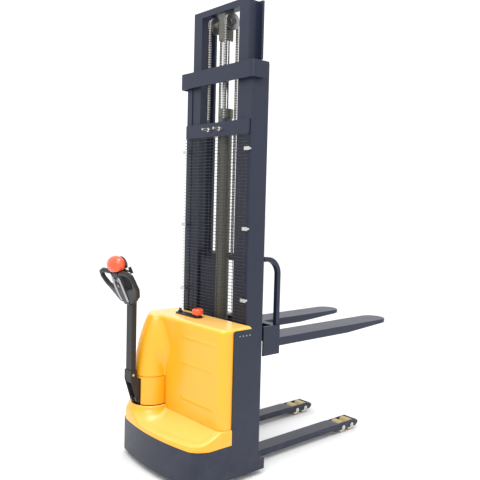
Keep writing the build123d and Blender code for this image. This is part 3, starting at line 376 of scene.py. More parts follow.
def dust_and_top_light_group():
    """Mask of dust: on faces that look up, near the floor, and in cloudy patches. Where a finish gives it a
    pale colour of its own, as the yellow shell does, it is partly painted top light.
    """
    tree, given, out = new_group(
        "Settled dust and painted top light",
        [("Place", VECTOR, None), ("Amount", NUMBER, 0.2)],
        [("Mask", NUMBER)],
    )
    facing = tree.nodes.new("ShaderNodeSeparateXYZ")
    tree.links.new(tree.nodes.new("ShaderNodeNewGeometry").outputs["Normal"], facing.inputs[0])
    upward = span(tree, facing.outputs["Z"], 0.35, 1.0)
    height = tree.nodes.new("ShaderNodeSeparateXYZ")
    tree.links.new(given["Place"], height.inputs[0])
    lowness = span(tree, height.outputs["Z"], 0.45, 0.0)
    clouds = add(tree, "ShaderNodeTexNoise", Vector=given["Place"], Scale=16.0, Detail=7.0)
    patchy = span(tree, clouds.outputs["Fac"], 0.38, 0.72)
    where = arithmetic(tree, "MAXIMUM", arithmetic(tree, "MULTIPLY", upward, 0.6), lowness)
    mask = arithmetic(tree, "MULTIPLY", arithmetic(tree, "MULTIPLY", where, patchy), given["Amount"])
    tree.links.new(mask, out["Mask"])
    return tree


def gloss_group():
    """Roughness with faint wipe marks and fine streaks about its base value."""
    tree, given, out = new_group(
        "Handled gloss",
        [("Place", VECTOR, None), ("Base", NUMBER, 0.4), ("Spread", NUMBER, 0.1)],
        [("Roughness", NUMBER)],
    )
    wipes = add(tree, "ShaderNodeTexNoise", Vector=given["Place"], Scale=9.0, Detail=5.0, Distortion=1.2)
    streaks = add(tree, "ShaderNodeTexNoise", Vector=given["Place"], Scale=130.0, Detail=3.0)
    both = arithmetic(tree, "ADD", wipes.outputs["Fac"], streaks.outputs["Fac"])
    drift = arithmetic(tree, "MULTIPLY", arithmetic(tree, "SUBTRACT", both, 1.0), given["Spread"])
    rough = arithmetic(tree, "ADD", drift, given["Base"])
    tree.links.new(arithmetic(tree, "MAXIMUM", rough, 0.03), out["Roughness"])
    return tree


def scratch_group():
    """Mask of fine scratches: thin bands where stretched noise passes its middle value."""
    tree, given, out = new_group(
        "Fine scratches",
        [("Place", VECTOR, None), ("Amount", NUMBER, 0.2)],
        [("Mask", NUMBER)],
    )
    found = None
    for turn in (0.4, 1.9):
        laid = add(tree, "ShaderNodeMapping", Vector=given["Place"])
        laid.inputs["Rotation"].default_value = (turn, turn * 0.7, turn)
        laid.inputs["Scale"].default_value = (2.0, 75.0, 40.0)
        noise = add(tree, "ShaderNodeTexNoise", Vector=laid.outputs[0], Scale=1.6, Detail=3.0)
        off = arithmetic(tree, "ABSOLUTE", arithmetic(tree, "SUBTRACT", noise.outputs["Fac"], 0.5))
        line = span(tree, off, 0.006, 0.0)
        found = line if found is None else arithmetic(tree, "MAXIMUM", found, line)
    mask = arithmetic(tree, "MULTIPLY", found, given["Amount"])
    tree.links.new(mask, out["Mask"])
    return tree


def painted_top_light_group():
    """Mask of painted top light: how much a face looks up, with soft uneven patches, where a paler colour is
    painted in for light falling from above.
    """
    tree, given, out = new_group(
        "Painted top light",
        [("Place", VECTOR, None), ("Amount", NUMBER, 0.5)],
        [("Mask", NUMBER)],
    )
    facing = tree.nodes.new("ShaderNodeSeparateXYZ")
    tree.links.new(tree.nodes.new("ShaderNodeNewGeometry").outputs["Normal"], facing.inputs[0])
    upward = span(tree, facing.outputs["Z"], 0.55, 1.0)
    clouds = add(tree, "ShaderNodeTexNoise", Vector=given["Place"], Scale=3.0, Detail=2.0)
    uneven = span(tree, clouds.outputs["Fac"], -0.6, 0.8)
    mask = arithmetic(tree, "MULTIPLY", arithmetic(tree, "MULTIPLY", upward, uneven), given["Amount"])
    tree.links.new(mask, out["Mask"])
    return tree


MOTTLE = mottle_group()
PAINTED_TOP_LIGHT = painted_top_light_group()
EDGES = edge_group()
DUST_AND_TOP_LIGHT = dust_and_top_light_group()
GLOSS = gloss_group()
SCRATCHES = scratch_group()


def use(tree, group, **sockets):
    """A node group placed in a material with its own values."""
    made = tree.nodes.new("ShaderNodeGroup")
    made.node_tree = group
    for name, value in sockets.items():
        if isinstance(value, bpy.types.NodeSocket):
            tree.links.new(value, made.inputs[name])
        else:
            made.inputs[name].default_value = value
    return made.outputs


def finish(
    name, colour, roughness, metallic=0.0, coat=0.0, mottle=0.10, spread=0.10, edge=0.0015,
    worn=0.0, worn_colour=(0.30, 0.30, 0.31), dust=0.06, dust_and_top_light_colour=(0.46, 0.43, 0.39), scratches=0.0,
    grain=420.0, depth=0.0002, gloss=0.5, painted_top_light_colour=None, pattern=None,
):
    """A finish from the shared effects: drifting colour, painted top light, rubbed edges, scratches, dust
    that on the yellow shell is partly painted top light, uneven gloss and a fine grain. pattern(tree, place)
    may add a colour factor and a height of the finish's own."""
    material = bpy.data.materials.new(name)
    material.use_nodes = True
    tree = material.node_tree
    shader = tree.nodes["Principled BSDF"]
    place = tree.nodes.new("ShaderNodeTexCoord").outputs["Object"]
    tint = use(tree, MOTTLE, Place=place, Colour=(*colour, 1), Amount=mottle)["Colour"]
    rubbed = use(tree, EDGES, Place=place, Radius=edge, Amount=worn)
    height = add(tree, "ShaderNodeTexNoise", Vector=place, Scale=grain, Detail=3.0).outputs["Fac"]
    if pattern:
        factor, relief = pattern(tree, place)
        tint = mix_colour(tree, 1.0, tint, factor, mode="MULTIPLY")
        height = arithmetic(tree, "ADD", arithmetic(tree, "MULTIPLY", height, 0.15), relief)
    # Painted top light: faces that look up are mixed towards a paler colour, as if lit from above.
    if painted_top_light_colour:
        tint = mix_colour(tree, use(tree, PAINTED_TOP_LIGHT, Place=place, Amount=0.75)["Mask"], tint, painted_top_light_colour)
    marks = use(tree, SCRATCHES, Place=place, Amount=scratches)["Mask"]
    bare = arithmetic(tree, "MAXIMUM", rubbed["Mask"], marks)
    tint = mix_colour(tree, bare, tint, worn_colour)
    # Dust, and on the yellow shell partly painted top light: its pale yellow dust colour lightens upward
    # faces.
    dust_and_top_light = use(tree, DUST_AND_TOP_LIGHT, Place=place, Amount=dust)["Mask"]
    tint = mix_colour(tree, dust_and_top_light, tint, dust_and_top_light_colour)
    uneven = use(tree, GLOSS, Place=place, Base=roughness, Spread=spread)["Roughness"]
    uneven = arithmetic(tree, "ADD", uneven, arithmetic(tree, "MULTIPLY", dust_and_top_light, 0.4))
    bump = tree.nodes.new("ShaderNodeBump")
    bump.inputs["Distance"].default_value = depth
    bump.inputs["Strength"].default_value = 0.6
    tree.links.new(height, bump.inputs["Height"])
    tree.links.new(rubbed["Normal"], bump.inputs["Normal"])
    tree.links.new(tint, shader.inputs["Base Color"])
    tree.links.new(uneven, shader.inputs["Roughness"])
    tree.links.new(bump.outputs["Normal"], shader.inputs["Normal"])
    shader.inputs["Metallic"].default_value = metallic
    shader.inputs["Specular IOR Level"].default_value = gloss
    shader.inputs["Coat Weight"].default_value = coat
    shader.inputs["Coat Roughness"].default_value = 0.12
    return material


def chain_pattern(tree, place):
    """Roller chain: painted shade in the gaps between links every pitch, and thin lines of painted shade
    between its rows of plates; the same mask also raises the links in relief.
    """
    split = tree.nodes.new("ShaderNodeSeparateXYZ")
    tree.links.new(place, split.inputs[0])
    along = arithmetic(tree, "MULTIPLY", split.outputs["Z"], 1 / 0.0127)
    row = arithmetic(tree, "MULTIPLY", split.outputs["Y"], 1 / 0.0046)
    link = arithmetic(tree, "PINGPONG", along, 0.5)
    plate = arithmetic(tree, "PINGPONG", row, 0.5)
    relief = arithmetic(tree, "MULTIPLY", span(tree, link, 0.08, 0.24), span(tree, plate, 0.02, 0.12))
    # Painted shade: the colour falls to 0.08 of the finish in the gaps.
    shade = arithmetic(tree, "ADD", arithmetic(tree, "MULTIPLY", relief, 0.92), 0.08)
    return shade, arithmetic(tree, "MULTIPLY", relief, 3.0)


def turned_pattern(tree, place):
    """Fine lathe lines across the axle."""
    laid = add(tree, "ShaderNodeMapping", Vector=place)
    laid.inputs["Scale"].default_value = (1.0, 900.0, 1.0)
    noise = add(tree, "ShaderNodeTexNoise", Vector=laid.outputs[0], Scale=1.0, Detail=2.0)
    shade = arithmetic(tree, "ADD", arithmetic(tree, "MULTIPLY", noise.outputs["Fac"], 0.25), 0.85)
    return shade, noise.outputs["Fac"]


def upright_brushed(tree, place):
    """Long fine lines up a rod or a strip."""
    laid = add(tree, "ShaderNodeMapping", Vector=place)
    laid.inputs["Scale"].default_value = (700.0, 700.0, 6.0)
    noise = add(tree, "ShaderNodeTexNoise", Vector=laid.outputs[0], Scale=1.0, Detail=2.0)
    shade = arithmetic(tree, "ADD", arithmetic(tree, "MULTIPLY", noise.outputs["Fac"], 0.2), 0.9)
    return shade, noise.outputs["Fac"]


def moulded_pattern(tree, place):
    """Leather-like mould grain: small rounded cells."""
    cells = add(tree, "ShaderNodeTexVoronoi", Vector=place, Scale=520.0)
    shade = arithmetic(tree, "ADD", arithmetic(tree, "MULTIPLY", cells.outputs["Distance"], 0.2), 0.9)
    return shade, cells.outputs["Distance"]


FINISHES = {
    "navy": finish(
        "satin navy paint", (0.013, 0.018, 0.038), 0.40, mottle=0.14, worn=0.35, gloss=0.36,
        worn_colour=(0.10, 0.11, 0.13), scratches=0.08, dust=0.03, grain=640.0, depth=0.0002,
    ),
    # Painted top light: the yellow is painted paler on faces that look up.
    "yellow": finish(
        "gloss yellow shell", (0.90, 0.40, 0.010), 0.32, coat=0.25, mottle=0.035, spread=0.06,
        worn=0.12, worn_colour=(0.98, 0.60, 0.14), scratches=0.04, dust=0.10,
        # The pale yellow dust colour is partly painted top light on upward faces.
        dust_and_top_light_colour=(0.95, 0.72, 0.38), painted_top_light_colour=(0.98, 0.62, 0.20), grain=300.0, depth=0.00008,
    ),
    "black_paint": finish("satin black paint", (0.014, 0.014, 0.016), 0.38, worn=0.35, scratches=0.06),
    "cylinder_paint": finish(
        "olive grey cylinder paint", (0.085, 0.085, 0.07), 0.36, worn=0.4, scratches=0.12, dust=0.10
    ),
    "charcoal": finish(
        "textured charcoal coat", (0.020, 0.022, 0.023), 0.50, gloss=0.35, mottle=0.16, worn=0.3, grain=1500.0,
        depth=0.0004, scratches=0.05,
    ),
    "zinc": finish(
        "bright zinc plate", (0.62, 0.62, 0.60), 0.30, metallic=1.0, mottle=0.18, edge=0.0006, grain=900.0
    ),
    "steel": finish(
        "oiled machined steel", (0.36, 0.36, 0.37), 0.30, metallic=1.0, mottle=0.2, edge=0.0006,
        pattern=turned_pattern, depth=0.00005,
    ),
    "chain": finish(
        "oiled leaf chain", (0.42, 0.41, 0.39), 0.34, metallic=1.0, mottle=0.3, edge=0.0004,
        pattern=chain_pattern, depth=0.0012,
    ),
    "chrome": finish(
        "polished chrome rod", (0.86, 0.87, 0.88), 0.16, metallic=1.0, mottle=0.03, spread=0.03,
        edge=0.0008, dust=0.0, pattern=upright_brushed, depth=0.00001,
    ),
    "cast": finish(
        "painted casting", (0.09, 0.09, 0.095), 0.6, mottle=0.25, worn=0.4, grain=180.0, depth=0.0012
    ),
    "aluminium": finish(
        "extruded aluminium", (0.42, 0.42, 0.45), 0.42, metallic=1.0, mottle=0.12,
        pattern=upright_brushed, depth=0.00005,
    ),
    "black_plastic": finish(
        "moulded black plastic", (0.008, 0.009, 0.014), 0.36, gloss=0.35, mottle=0.2, worn=0.15,
        worn_colour=(0.06, 0.06, 0.065), pattern=moulded_pattern, depth=0.0001,
    ),
    "grip_plastic": finish(
        "grained grip plastic", (0.012, 0.014, 0.014), 0.46, gloss=0.35, mottle=0.2, worn=0.2,
        worn_colour=(0.08, 0.08, 0.085), pattern=moulded_pattern, depth=0.0003,
    ),
    "button_grey": finish("grey button plastic", (0.16, 0.16, 0.17), 0.35, edge=0.0006),
    "red": finish(
        "gloss red plastic", (0.80, 0.085, 0.020), 0.28, coat=0.4, mottle=0.05, spread=0.05,
        worn=0.1, worn_colour=(0.9, 0.25, 0.15), dust=0.04, depth=0.00005,
    ),
    "wheel_pu": finish(
        "cast tan polyurethane", (0.47, 0.36, 0.15), 0.42, mottle=0.22, worn=0.5,
        worn_colour=(0.35, 0.28, 0.18), scratches=0.25, dust=0.4, grain=260.0, depth=0.0006,
    ),
    "drive_tread": finish(
        "scuffed drive rubber", (0.035, 0.035, 0.036), 0.72, mottle=0.3, worn=0.5,
        worn_colour=(0.14, 0.14, 0.14), dust=0.5, grain=240.0, depth=0.0012,
    ),
}
SLOT_OF = {part["node"]: part["material_slot"] for part in frame["record"]["subparts"]}
for node, thing in frame["nodes"].items():
    thing.data.materials.clear()
    thing.data.materials.append(FINISHES[SLOT_OF[node]])


def made(name, shape, body, slot, smooth=True):
    """A finished piece from its points and faces."""
    return piece(name, *shape, body, slot, FINISHES[slot], smooth=smooth)


# ---------------------------------------------------------------- yellow covers
RIBS = ((0.694, -0.296, -0.027), (0.560, -0.265, -0.018), (0.374, -0.272, -0.020))


def tower_radius(z):
    """Radius of the tower over the drum: the drum's own up to its top, then a taper that steepens
    with the fourth power of height."""
    rise = np.clip(z - DRUM_TOP, 0, COVER_TOP - DRUM_TOP)
    return DRUM_RADIUS - 0.15 * rise - 0.04 * (rise / (COVER_TOP - DRUM_TOP)) ** 4


def column_plan(x, y):
    """Plan of the main cover: straight sides and round rear corners."""
    middle_x = (PANEL + 0.10) / 2
    return round_both(np.abs(x - middle_x) - (0.10 - PANEL) / 2, np.abs(y) - COVER_SIDE, 0.042)


def main_cover_field(x, y, z):
    """A block with round rear corners and a round top edge, blended into the tower, less the drum's
    well. Three shallow ribs stand out of the rear panel."""
    plan = column_plan(x, y)
    for rib_z, rib_right, rib_left in RIBS:
        across = np.clip(1 - np.maximum(rib_right - y, y - rib_left) / 0.012, 0, 1)
        plan = plan - 0.0042 * across * np.exp(-(((z - rib_z) / 0.006) ** 2)) * (x < PANEL + 0.02)
    body = round_both(plan, z - COVER_TOP, 0.024)
    away = np.hypot(x - STEER[0], y - STEER[1])
    tower = round_both(away - tower_radius(z), z - COVER_TOP + 0.001, 0.012)
    rise = np.clip((z - DRUM_TOP) / 0.16, 0, 1)
    whole = blend_union(body, tower, 0.006 + 0.085 * rise * rise * (3 - 2 * rise))
    well = np.maximum(away - DRUM_RADIUS - DRUM_GAP, z - DRUM_TOP - DRUM_GAP)
    return np.maximum(np.maximum(whole, z - COVER_TOP), -well)


def main_cover_shell():
    """The main cover: its skin, cut at the seam and at the mast, with a thin wall."""
    points, faces = skin(main_cover_field, (-0.375, -0.385, 0.182), (0.010, 0.385, 0.792), 0.005)
    shell = made("main_cover_shell", (truck(points), faces), "chassis", "yellow")
    trim(shell, ((COVER_FRONT, 0, 0), (1, 0, 0)), ((0, 0, COVER_FOOT), (0, 0, -1)))
    give_wall(shell, SHELL_WALL)
    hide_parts("main_cover")


def lower_cover_field(x, y, z):
    """The bowed chassis plan under a concave deck that climbs to the panel, joined to a flared
    plinth round the drum, less the drum's well."""
    bow = 0.047
    chord = HALF_WIDTH
    bow_radius = (chord * chord + bow * bow) / (2 * bow)
    rear = np.hypot(x - REAR - bow_radius, y) - bow_radius
    plan = round_both(rear, np.abs(y) - HALF_WIDTH, 0.070)
    climb = np.clip((x - REAR - 0.010) / (PANEL - REAR - 0.010), 0, 1.0)
    dish = 0.007 * np.clip(np.minimum((PANEL - x) / 0.05, -(plan + 0.030) / 0.03), 0, 1)
    deck = (z - 0.226 - 0.054 * climb**1.6 + dish) * 0.94
    flare = np.clip((PLINTH_TOP - z) / 0.059, 0, 1.4)
    away = np.hypot(x - STEER[0], y - STEER[1])
    plinth = round_both((away - 0.118 - 0.047 * flare**1.8) * 0.8, z - PLINTH_TOP, 0.004)
    top = blend_union(deck, plinth, 0.016)
    well = np.minimum(away - DRUM_RADIUS - DRUM_GAP, column_plan(x, y) - 0.0006)
    return np.maximum(np.maximum(round_both(plan, top, 0.009), z - PLINTH_TOP), -well)


def lower_cover_shell():
    """The lower cover: its skin, cut level with the skirt and at the panel, with a thin wall."""
    points, faces = skin(lower_cover_field, (-0.402, -0.362, 0.186), (-0.132, 0.362, 0.306), 0.004)
    shell = made("lower_cover_shell", (truck(points), faces), "chassis", "yellow")
    trim(shell, ((PLATE_REAR - 0.0008, 0, 0), (1, 0, 0)), ((0, 0, SKIRT_TOP + 0.0008), (0, 0, -1)))
    give_wall(shell, SHELL_WALL)
    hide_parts("lower_cover")


# ---------------------------------------------------------------- tiller head
ARM_TOP = middle("tiller_arm")
ARM_TOP[2] = high("tiller_arm")[2]
LEAN = math.radians(25)
HEAD_UP = np.array([-math.sin(LEAN), 0, math.cos(LEAN)])
HEAD_OUT = np.array([math.cos(LEAN), 0, math.sin(LEAN)])


def on_head(points):
    """Points given as across, along and out of the head, placed in the frame."""
    across, along, out = np.asarray(points, float).T
    return ARM_TOP + across[:, None] * [0, 1, 0] + along[:, None] * HEAD_UP + out[:, None] * HEAD_OUT


BUTTON_TRAVEL = 0.009
BUTTON_SEAT = 0.1865
BUTTON_CLEARANCE = 0.0018
POCKET_CLEARANCE = 0.0016
POCKET_DEPTH = 0.0075


def dome(u, v, w, grow=0.0):
    """Approximate distance to the safety button's ellipsoid, wider across the head than it is tall."""
    across, along, out = 0.062 + grow, 0.050 + grow, 0.045 + grow
    scaled = np.sqrt((u / across) ** 2 + ((v - 0.218) / along) ** 2 + ((w + 0.003) / out) ** 2)
    return (scaled - 1) * along


def button_sweep(u, v, w):
    """Distance to what the safety button sweeps over its travel, with a little clearance."""
    return np.minimum(dome(u, v, w), dome(u, v + BUTTON_TRAVEL, w)) - BUTTON_CLEARANCE


def button_room(u, v, w):
    """Distance to the sweep's upper part, which is cut out of the head."""
    return np.maximum(button_sweep(u, v, w), BUTTON_SEAT - v)


def pockets(u, v, w):
    """Distance to round pockets that the three push buttons sink into."""
    found = np.full(u.shape, 1.0)
    for node in ("lift_button", "lower_button", "horn_button"):
        place = middle(node) - ARM_TOP
        across, along, out = place[1], place @ HEAD_UP, place @ HEAD_OUT
        radius = (high(node)[1] - low(node)[1]) / 2 + POCKET_CLEARANCE
        plug = np.maximum(np.hypot(u - across, v - along) - radius, np.abs(w - out) - POCKET_DEPTH)
        found = np.minimum(found, plug)
    return found


def head_hood(u, v, w):
    """A thin hood round the front and foot of the safety button, open where the button shows, with
    the whole travel of the button left free inside."""
    slope = 0.75 * w - 0.66 * (v - 0.218)
    hood = round_both(dome(u, v, w, grow=0.0065), 0.010 - slope, 0.002)
    return np.maximum(hood, -button_sweep(u, v, w))


def head_body_field(u, v, w):
    """The head's body: narrow at the arm, widest two thirds of the way up, with rounded edges, and a
    shallow dish in its rear face where the buttons sit."""
    rise = np.clip(v / 0.186, 0, 1)
    half = 0.033 + 0.016 * np.sin(math.pi * rise**1.15) ** 1.5
    side = (np.abs(u) - half) * 0.95
    ends = np.abs(v - 0.090) - 0.098
    plan = round_both(side, ends, 0.012)
    face = np.abs(w + 0.004) - 0.030 - 0.004 * np.sin(math.pi * rise)
    dish = np.hypot(np.hypot(u, (v - 0.130) * 0.8), w + 0.110) - 0.078
    body = np.maximum(round_both(plan, face, 0.010), -dish)
    room = np.minimum(button_room(u, v, w), pockets(u, v, w))
    return np.maximum(np.minimum(body, head_hood(u, v, w)), -room)


def head_body_shell():
    """The head's casing with its hood."""
    points, faces = skin(head_body_field, (-0.075, -0.020, -0.06), (0.075, 0.262, 0.070), 0.0025)
    shell = made("tiller_head_shell", (on_head(points), faces), "tiller", "black_plastic")
    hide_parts("head_body")


LOOP_OUTSIDE = (
    (0.030, 0.197), (0.126, 0.200), (0.161, 0.186), (0.1675, 0.150), (0.157, 0.096), (0.118, 0.042),
    (0.062, 0.006), (0.030, 0.004),
)
LOOP_HOLE = ((0.050, 0.172), (0.122, 0.175), (0.142, 0.164), (0.144, 0.146), (0.124, 0.108), (0.050, 0.092))


def loops_field(u, v, w):
    """Two closed handles: an outline with a hole, offset inwards and rounded out again so that every
    edge is round, curving back a little at the top and leaning forward at the foot."""
    across = np.abs(u)
    outside = outline_distance(across, v, LOOP_OUTSIDE)
    hole = outline_distance(across, v, LOOP_HOLE)
    plan = round_both(outside, -hole, 0.004)
    lean = np.clip((0.170 - v) / 0.130, 0, 1) * np.clip((across - 0.03) / 0.12, 0, 1)
    sweep = -0.022 - 0.09 * np.clip(across - 0.05, 0, 1) ** 1.4 + 0.024 * lean * lean
    bar = round_both(plan, np.abs(w - sweep) - 0.0125, 0.0118)
    return np.maximum(bar, -button_room(u, v, w))


def handle_loops_shell():
    """Both handles as one moulding."""
    points, faces = skin(loops_field, (-0.186, -0.012, -0.055), (0.186, 0.212, 0.062), 0.0026)
    shell = made("handle_loops_shell", (on_head(points), faces), "tiller", "grip_plastic")
    relaxed = shell.modifiers.new("relaxed", "SMOOTH")
    relaxed.factor = 0.5
    relaxed.iterations = 5
    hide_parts("handle_loops")


def trim_strips():
    """Two bright strips up the rear face of the head: rounded bars that follow its bulge."""

    def field(u, v, w):
        rise = np.clip(v / 0.186, 0, 1)
        beside = np.abs(np.abs(u) - 0.027 - 0.010 * np.sin(math.pi * rise)) - 0.0085
        plan = round_both(beside, np.abs(v - 0.092) - 0.072, 0.004)
        rear = -0.004 - 0.030 - 0.004 * np.sin(math.pi * rise)
        return round_both(plan, np.abs(w - rear) - 0.003, 0.002)

    points, faces = skin(field, (-0.056, 0.01, -0.046), (0.056, 0.175, -0.026), 0.0018)
    made("head_trim_strips", (on_head(points), faces), "tiller", "aluminium")


def safety_button():
    """The big safety button: its ellipsoid, cut flat above the head with a rounded rim."""

    def field(u, v, w):
        return round_both(dome(u, v, w), 0.1972 - v, 0.004)

    points, faces = skin(field, (-0.07, 0.185, -0.06), (0.07, 0.275, 0.065), 0.0024)
    button = made("safety_button", (on_head(points), faces), "belly_button", "red")
    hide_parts("belly_button")


# ---------------------------------------------------------------- wire guard and fasteners
GUARD_LOW = low("mesh_guard")
GUARD_HIGH = high("mesh_guard")
WIRE = 0.0015


def wire_guard():
    """The guard's crossed wires: level rods with free ends behind upright ones."""
    rows, columns, tail, inset = 56, 13, 0.005, 0.010
    levels = np.linspace(GUARD_LOW[2] + WIRE, GUARD_HIGH[2] - WIRE, rows)
    uprights = np.linspace(GUARD_LOW[1] + inset, GUARD_HIGH[1] - inset, columns)
    ends = np.full(rows, GUARD_LOW[1] - tail)
    starts = np.stack([np.full(rows, GUARD_LOW[0]), ends, levels], -1)
    level_rods = rods(starts, (0, GUARD_HIGH[1] - GUARD_LOW[1] + 2 * tail, 0), WIRE)
    starts = np.stack([np.full(columns, GUARD_HIGH[0]), uprights, np.full(columns, GUARD_LOW[2])], -1)
    upright_rods = rods(starts, (0, 0, GUARD_HIGH[2] - GUARD_LOW[2]), WIRE)
    guard = made("wire_guard", join(level_rods, upright_rods), "chassis", "black_paint")
    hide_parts("mesh_guard")


SCREW_SUNK = 0.0024


def fasteners():
    """Bolt heads and screws on the mast, side plates, legs and tiller bracket."""
    beam = high("upper_beam") - SHIFT
    arm_x = ARM_TOP[0] - MAST_X
    for side, word in ((-1, "right"), (1, "left")):
        outward = (0, side, 0)
        places = [(x, side * (beam[1] - 0.016), beam[2]) for x in (0.046, 0.064)]
        made(f"beam_studs_{word}", bolt_heads(places, (0, 0, 1), 0.0055, 0.007), "chassis", "zinc", False)
        plate = [(x, side * (HALF_WIDTH - SCREW_SUNK), 0.738) for x in (-0.108, -0.086, -0.064, -0.042)]
        made(
            f"side_plate_screws_{word}", bolt_heads(plate, outward, 0.0034, 0.0026), "chassis", "zinc", False
        )
        wheels = [middle(f"load_wheel_{word}_{place}") - SHIFT for place in ("rear", "front")]
        for face, hand in ((-1, "right"), (1, "left")):
            axles = [(wheel[0], wheel[1] + face * 0.0482, wheel[2]) for wheel in wheels]
            made(
                f"axle_bolts_{word}_leg_{hand}_face",
                bolt_heads(axles, (0, face, 0), 0.0062, 0.005), "chassis", "zinc", False,
            )
        bolt = [(arm_x - 0.004, STEER[1] + side * 0.0333, 0.462)]
        made(f"bracket_bolt_{word}", bolt_heads(bolt, outward, 0.005, 0.004), "tiller", "zinc", False)


# ---------------------------------------------------------------- chains and wheels
CHAIN_NODE_HALF = 0.007
CHAIN_HALF = 0.0066
CHAIN_THICK = 0.0042


def chain_turn():
    """Half turns of chain over the sheaves: a band round each sheave whose thickness swells and
    narrows with the links."""
    sheave = middle("chain_sheaves")
    radius = (high("chain_carriage_runs")[0] + low("chain_carriage_runs")[0]) / 2 - sheave[0]
    reach = high("chain_carriage_runs")[1] - MID_Y
    steps = 96
    turn = np.linspace(0, math.pi, steps)
    swell = 0.0036 + 0.0011 * np.cos(turn * 20)
    corners = np.array([(-1, -1), (1, -1), (1, 1), (-1, 1)])
    spoke = np.stack([np.cos(turn), np.zeros(steps), np.sin(turn)], -1)
    out = radius + corners[None, :, 0] * swell[:, None]
    ring = spoke[:, None] * out[..., None]
    ring[..., 1] += corners[None, :, 1] * CHAIN_HALF
    i, j = np.meshgrid(np.arange(steps - 1), np.arange(4), indexing="ij")
    ahead = (j + 1) % 4
    faces = np.stack([i * 4 + j, (i + 1) * 4 + j, (i + 1) * 4 + ahead, i * 4 + ahead], -1).reshape(-1, 4)
    caps = np.array([[0, 1, 2, 3], [steps * 4 - 1, steps * 4 - 2, steps * 4 - 3, steps * 4 - 4]])
    y = reach - CHAIN_NODE_HALF
    places = [(sheave[0], MID_Y - y, sheave[2]), (sheave[0], MID_Y + y, sheave[2])]
    shape = repeat(ring.reshape(-1, 3), np.vstack([faces, caps]), places)
    made("chain_turns", shape, "inner_mast", "chain", False)


def chain_runs():
    """The straight runs of both chains. Each is a straight box with points only at its two ends, at the
    foot and the top of the CAD run, and is not attached to the chassis, the carriage or the sheaves."""
    corners = np.array([(-1, -1), (1, -1), (1, 1), (-1, 1)]) * [CHAIN_THICK, CHAIN_HALF]
    sides = [[0, 1, 5, 4], [1, 2, 6, 5], [2, 3, 7, 6], [3, 0, 4, 7]]
    faces = np.array(sides + [[3, 2, 1, 0], [4, 5, 6, 7]])
    for node, follows in (("chain_anchor_runs", "chassis"), ("chain_carriage_runs", "fork_carriage")):
        foot, top = low(node), high(node)
        reach = top[1] - MID_Y - CHAIN_NODE_HALF
        ends = [np.column_stack([corners, np.full(4, height)]) for height in (foot[2], top[2])]
        places = [((foot[0] + top[0]) / 2, MID_Y + side * reach, 0) for side in (-1, 1)]
        run = made(node + "_strips", repeat(np.vstack(ends), faces, places), None, "chain", False)
        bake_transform(run)
        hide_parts(node)


def wheel_bearings():
    """Bearing shields in both ends of each load wheel: a stepped ring."""
    for name in [f"load_wheel_{hand}_{place}" for hand in ("left", "right") for place in ("front", "rear")]:
        centre = middle(name)
        half = (high(name)[1] - low(name)[1]) / 2
        profile = [
            (0.0112, -0.0015), (0.0112, 0.0010), (0.0150, 0.0012), (0.0160, 0.0004),
            (0.0220, 0.0004), (0.0230, 0.0014), (0.0255, 0.0014), (0.0262, -0.0015), (0.0112, -0.0015),
        ]
        ends = [lathe(profile, centre + [0, side * half, 0], (0, side, 0), 40) for side in (-1, 1)]
        made(f"{name}_bearings", join(*ends), name, "zinc")


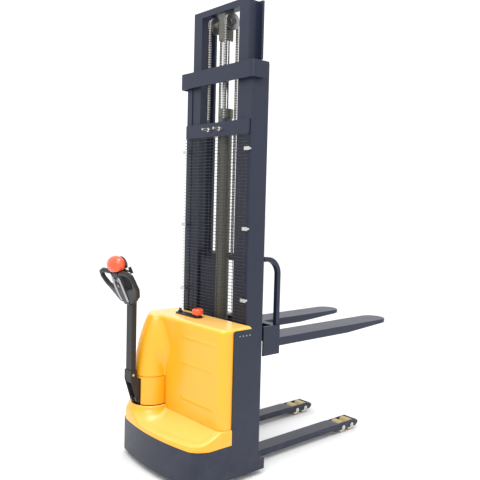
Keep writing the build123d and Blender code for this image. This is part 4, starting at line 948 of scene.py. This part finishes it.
def studio():
    """Wide pale floor under an even white sky, so both meet without an edge."""
    reach = 60.0
    points = [(-reach, -reach, 0), (reach, -reach, 0), (reach, reach, 0), (-reach, reach, 0)]
    mesh = bpy.data.meshes.new("studio_floor")
    mesh.from_pydata(points, [], [(0, 1, 2, 3)])
    material = bpy.data.materials.new("pale floor")
    material.use_nodes = True
    shader = material.node_tree.nodes["Principled BSDF"]
    shader.inputs["Base Color"].default_value = (0.86, 0.86, 0.86, 1)
    shader.inputs["Roughness"].default_value = 0.9
    shader.inputs["Specular IOR Level"].default_value = 0.2
    mesh.materials.append(material)
    floor = bpy.data.objects.new("studio_floor", mesh)
    bpy.context.scene.collection.objects.link(floor)

    world = bpy.data.worlds.new("soft room")
    world.use_nodes = True
    sky = world.node_tree.nodes["Background"]
    sky.inputs["Color"].default_value = (1.0, 1.0, 1.0, 1)
    sky.inputs["Strength"].default_value = 1.2
    bpy.context.scene.world = world
    bpy.context.scene.view_settings.view_transform = "Standard"


def area_light(name, place, target, size, power):
    """A soft square light that faces a target."""
    data = bpy.data.lights.new(name, "AREA")
    data.size = size
    data.energy = power
    light = bpy.data.objects.new(name, data)
    bpy.context.scene.collection.objects.link(light)
    aim = np.asarray(target, float) - place
    light.location = place
    light.rotation_mode = "QUATERNION"
    light.rotation_quaternion = Vector(aim).to_track_quat("-Z", "Y")


CAMERA_TURN = math.radians(48.847)
CAMERA_DIP = math.radians(3.611)
CAMERA_ROLL = math.radians(1.489)
CAMERA_PLACE = (-2.4351, -2.6051, 1.400)
CAMERA_LENS = 46.09


def camera():
    """The camera: its heading, its dip below the horizon and its roll, as three axes."""
    forward = np.array([
        math.cos(CAMERA_TURN) * math.cos(CAMERA_DIP),
        math.sin(CAMERA_TURN) * math.cos(CAMERA_DIP),
        -math.sin(CAMERA_DIP),
    ])
    right = np.cross(forward, [0, 0, 1])
    right /= np.linalg.norm(right)
    upward = np.cross(right, forward)
    rolled_right = math.cos(CAMERA_ROLL) * right + math.sin(CAMERA_ROLL) * upward
    rolled_up = -math.sin(CAMERA_ROLL) * right + math.cos(CAMERA_ROLL) * upward
    data = bpy.data.cameras.new("camera")
    data.lens = CAMERA_LENS
    data.sensor_width = 36.0
    data.clip_start, data.clip_end = 0.05, 60.0
    thing = bpy.data.objects.new("camera", data)
    bpy.context.scene.collection.objects.link(thing)
    turn = np.eye(4)
    turn[:3, 0], turn[:3, 1], turn[:3, 2] = rolled_right, rolled_up, -forward
    turn[:3, 3] = CAMERA_PLACE
    thing.matrix_world = Matrix(turn.tolist())
    bpy.context.scene.camera = thing


main_cover_shell()
lower_cover_shell()
head_body_shell()
handle_loops_shell()
trim_strips()
safety_button()
wire_guard()
fasteners()
chain_turn()
chain_runs()
wheel_bearings()
studio()
area_light("key", np.array([-3.2, -2.6, 4.6]), (-0.3, 0, 1.2), 2.2, 95)
area_light("overhead", np.array([-0.6, -0.4, 5.0]), (-0.4, 0, 0), 2.0, 100)
camera()
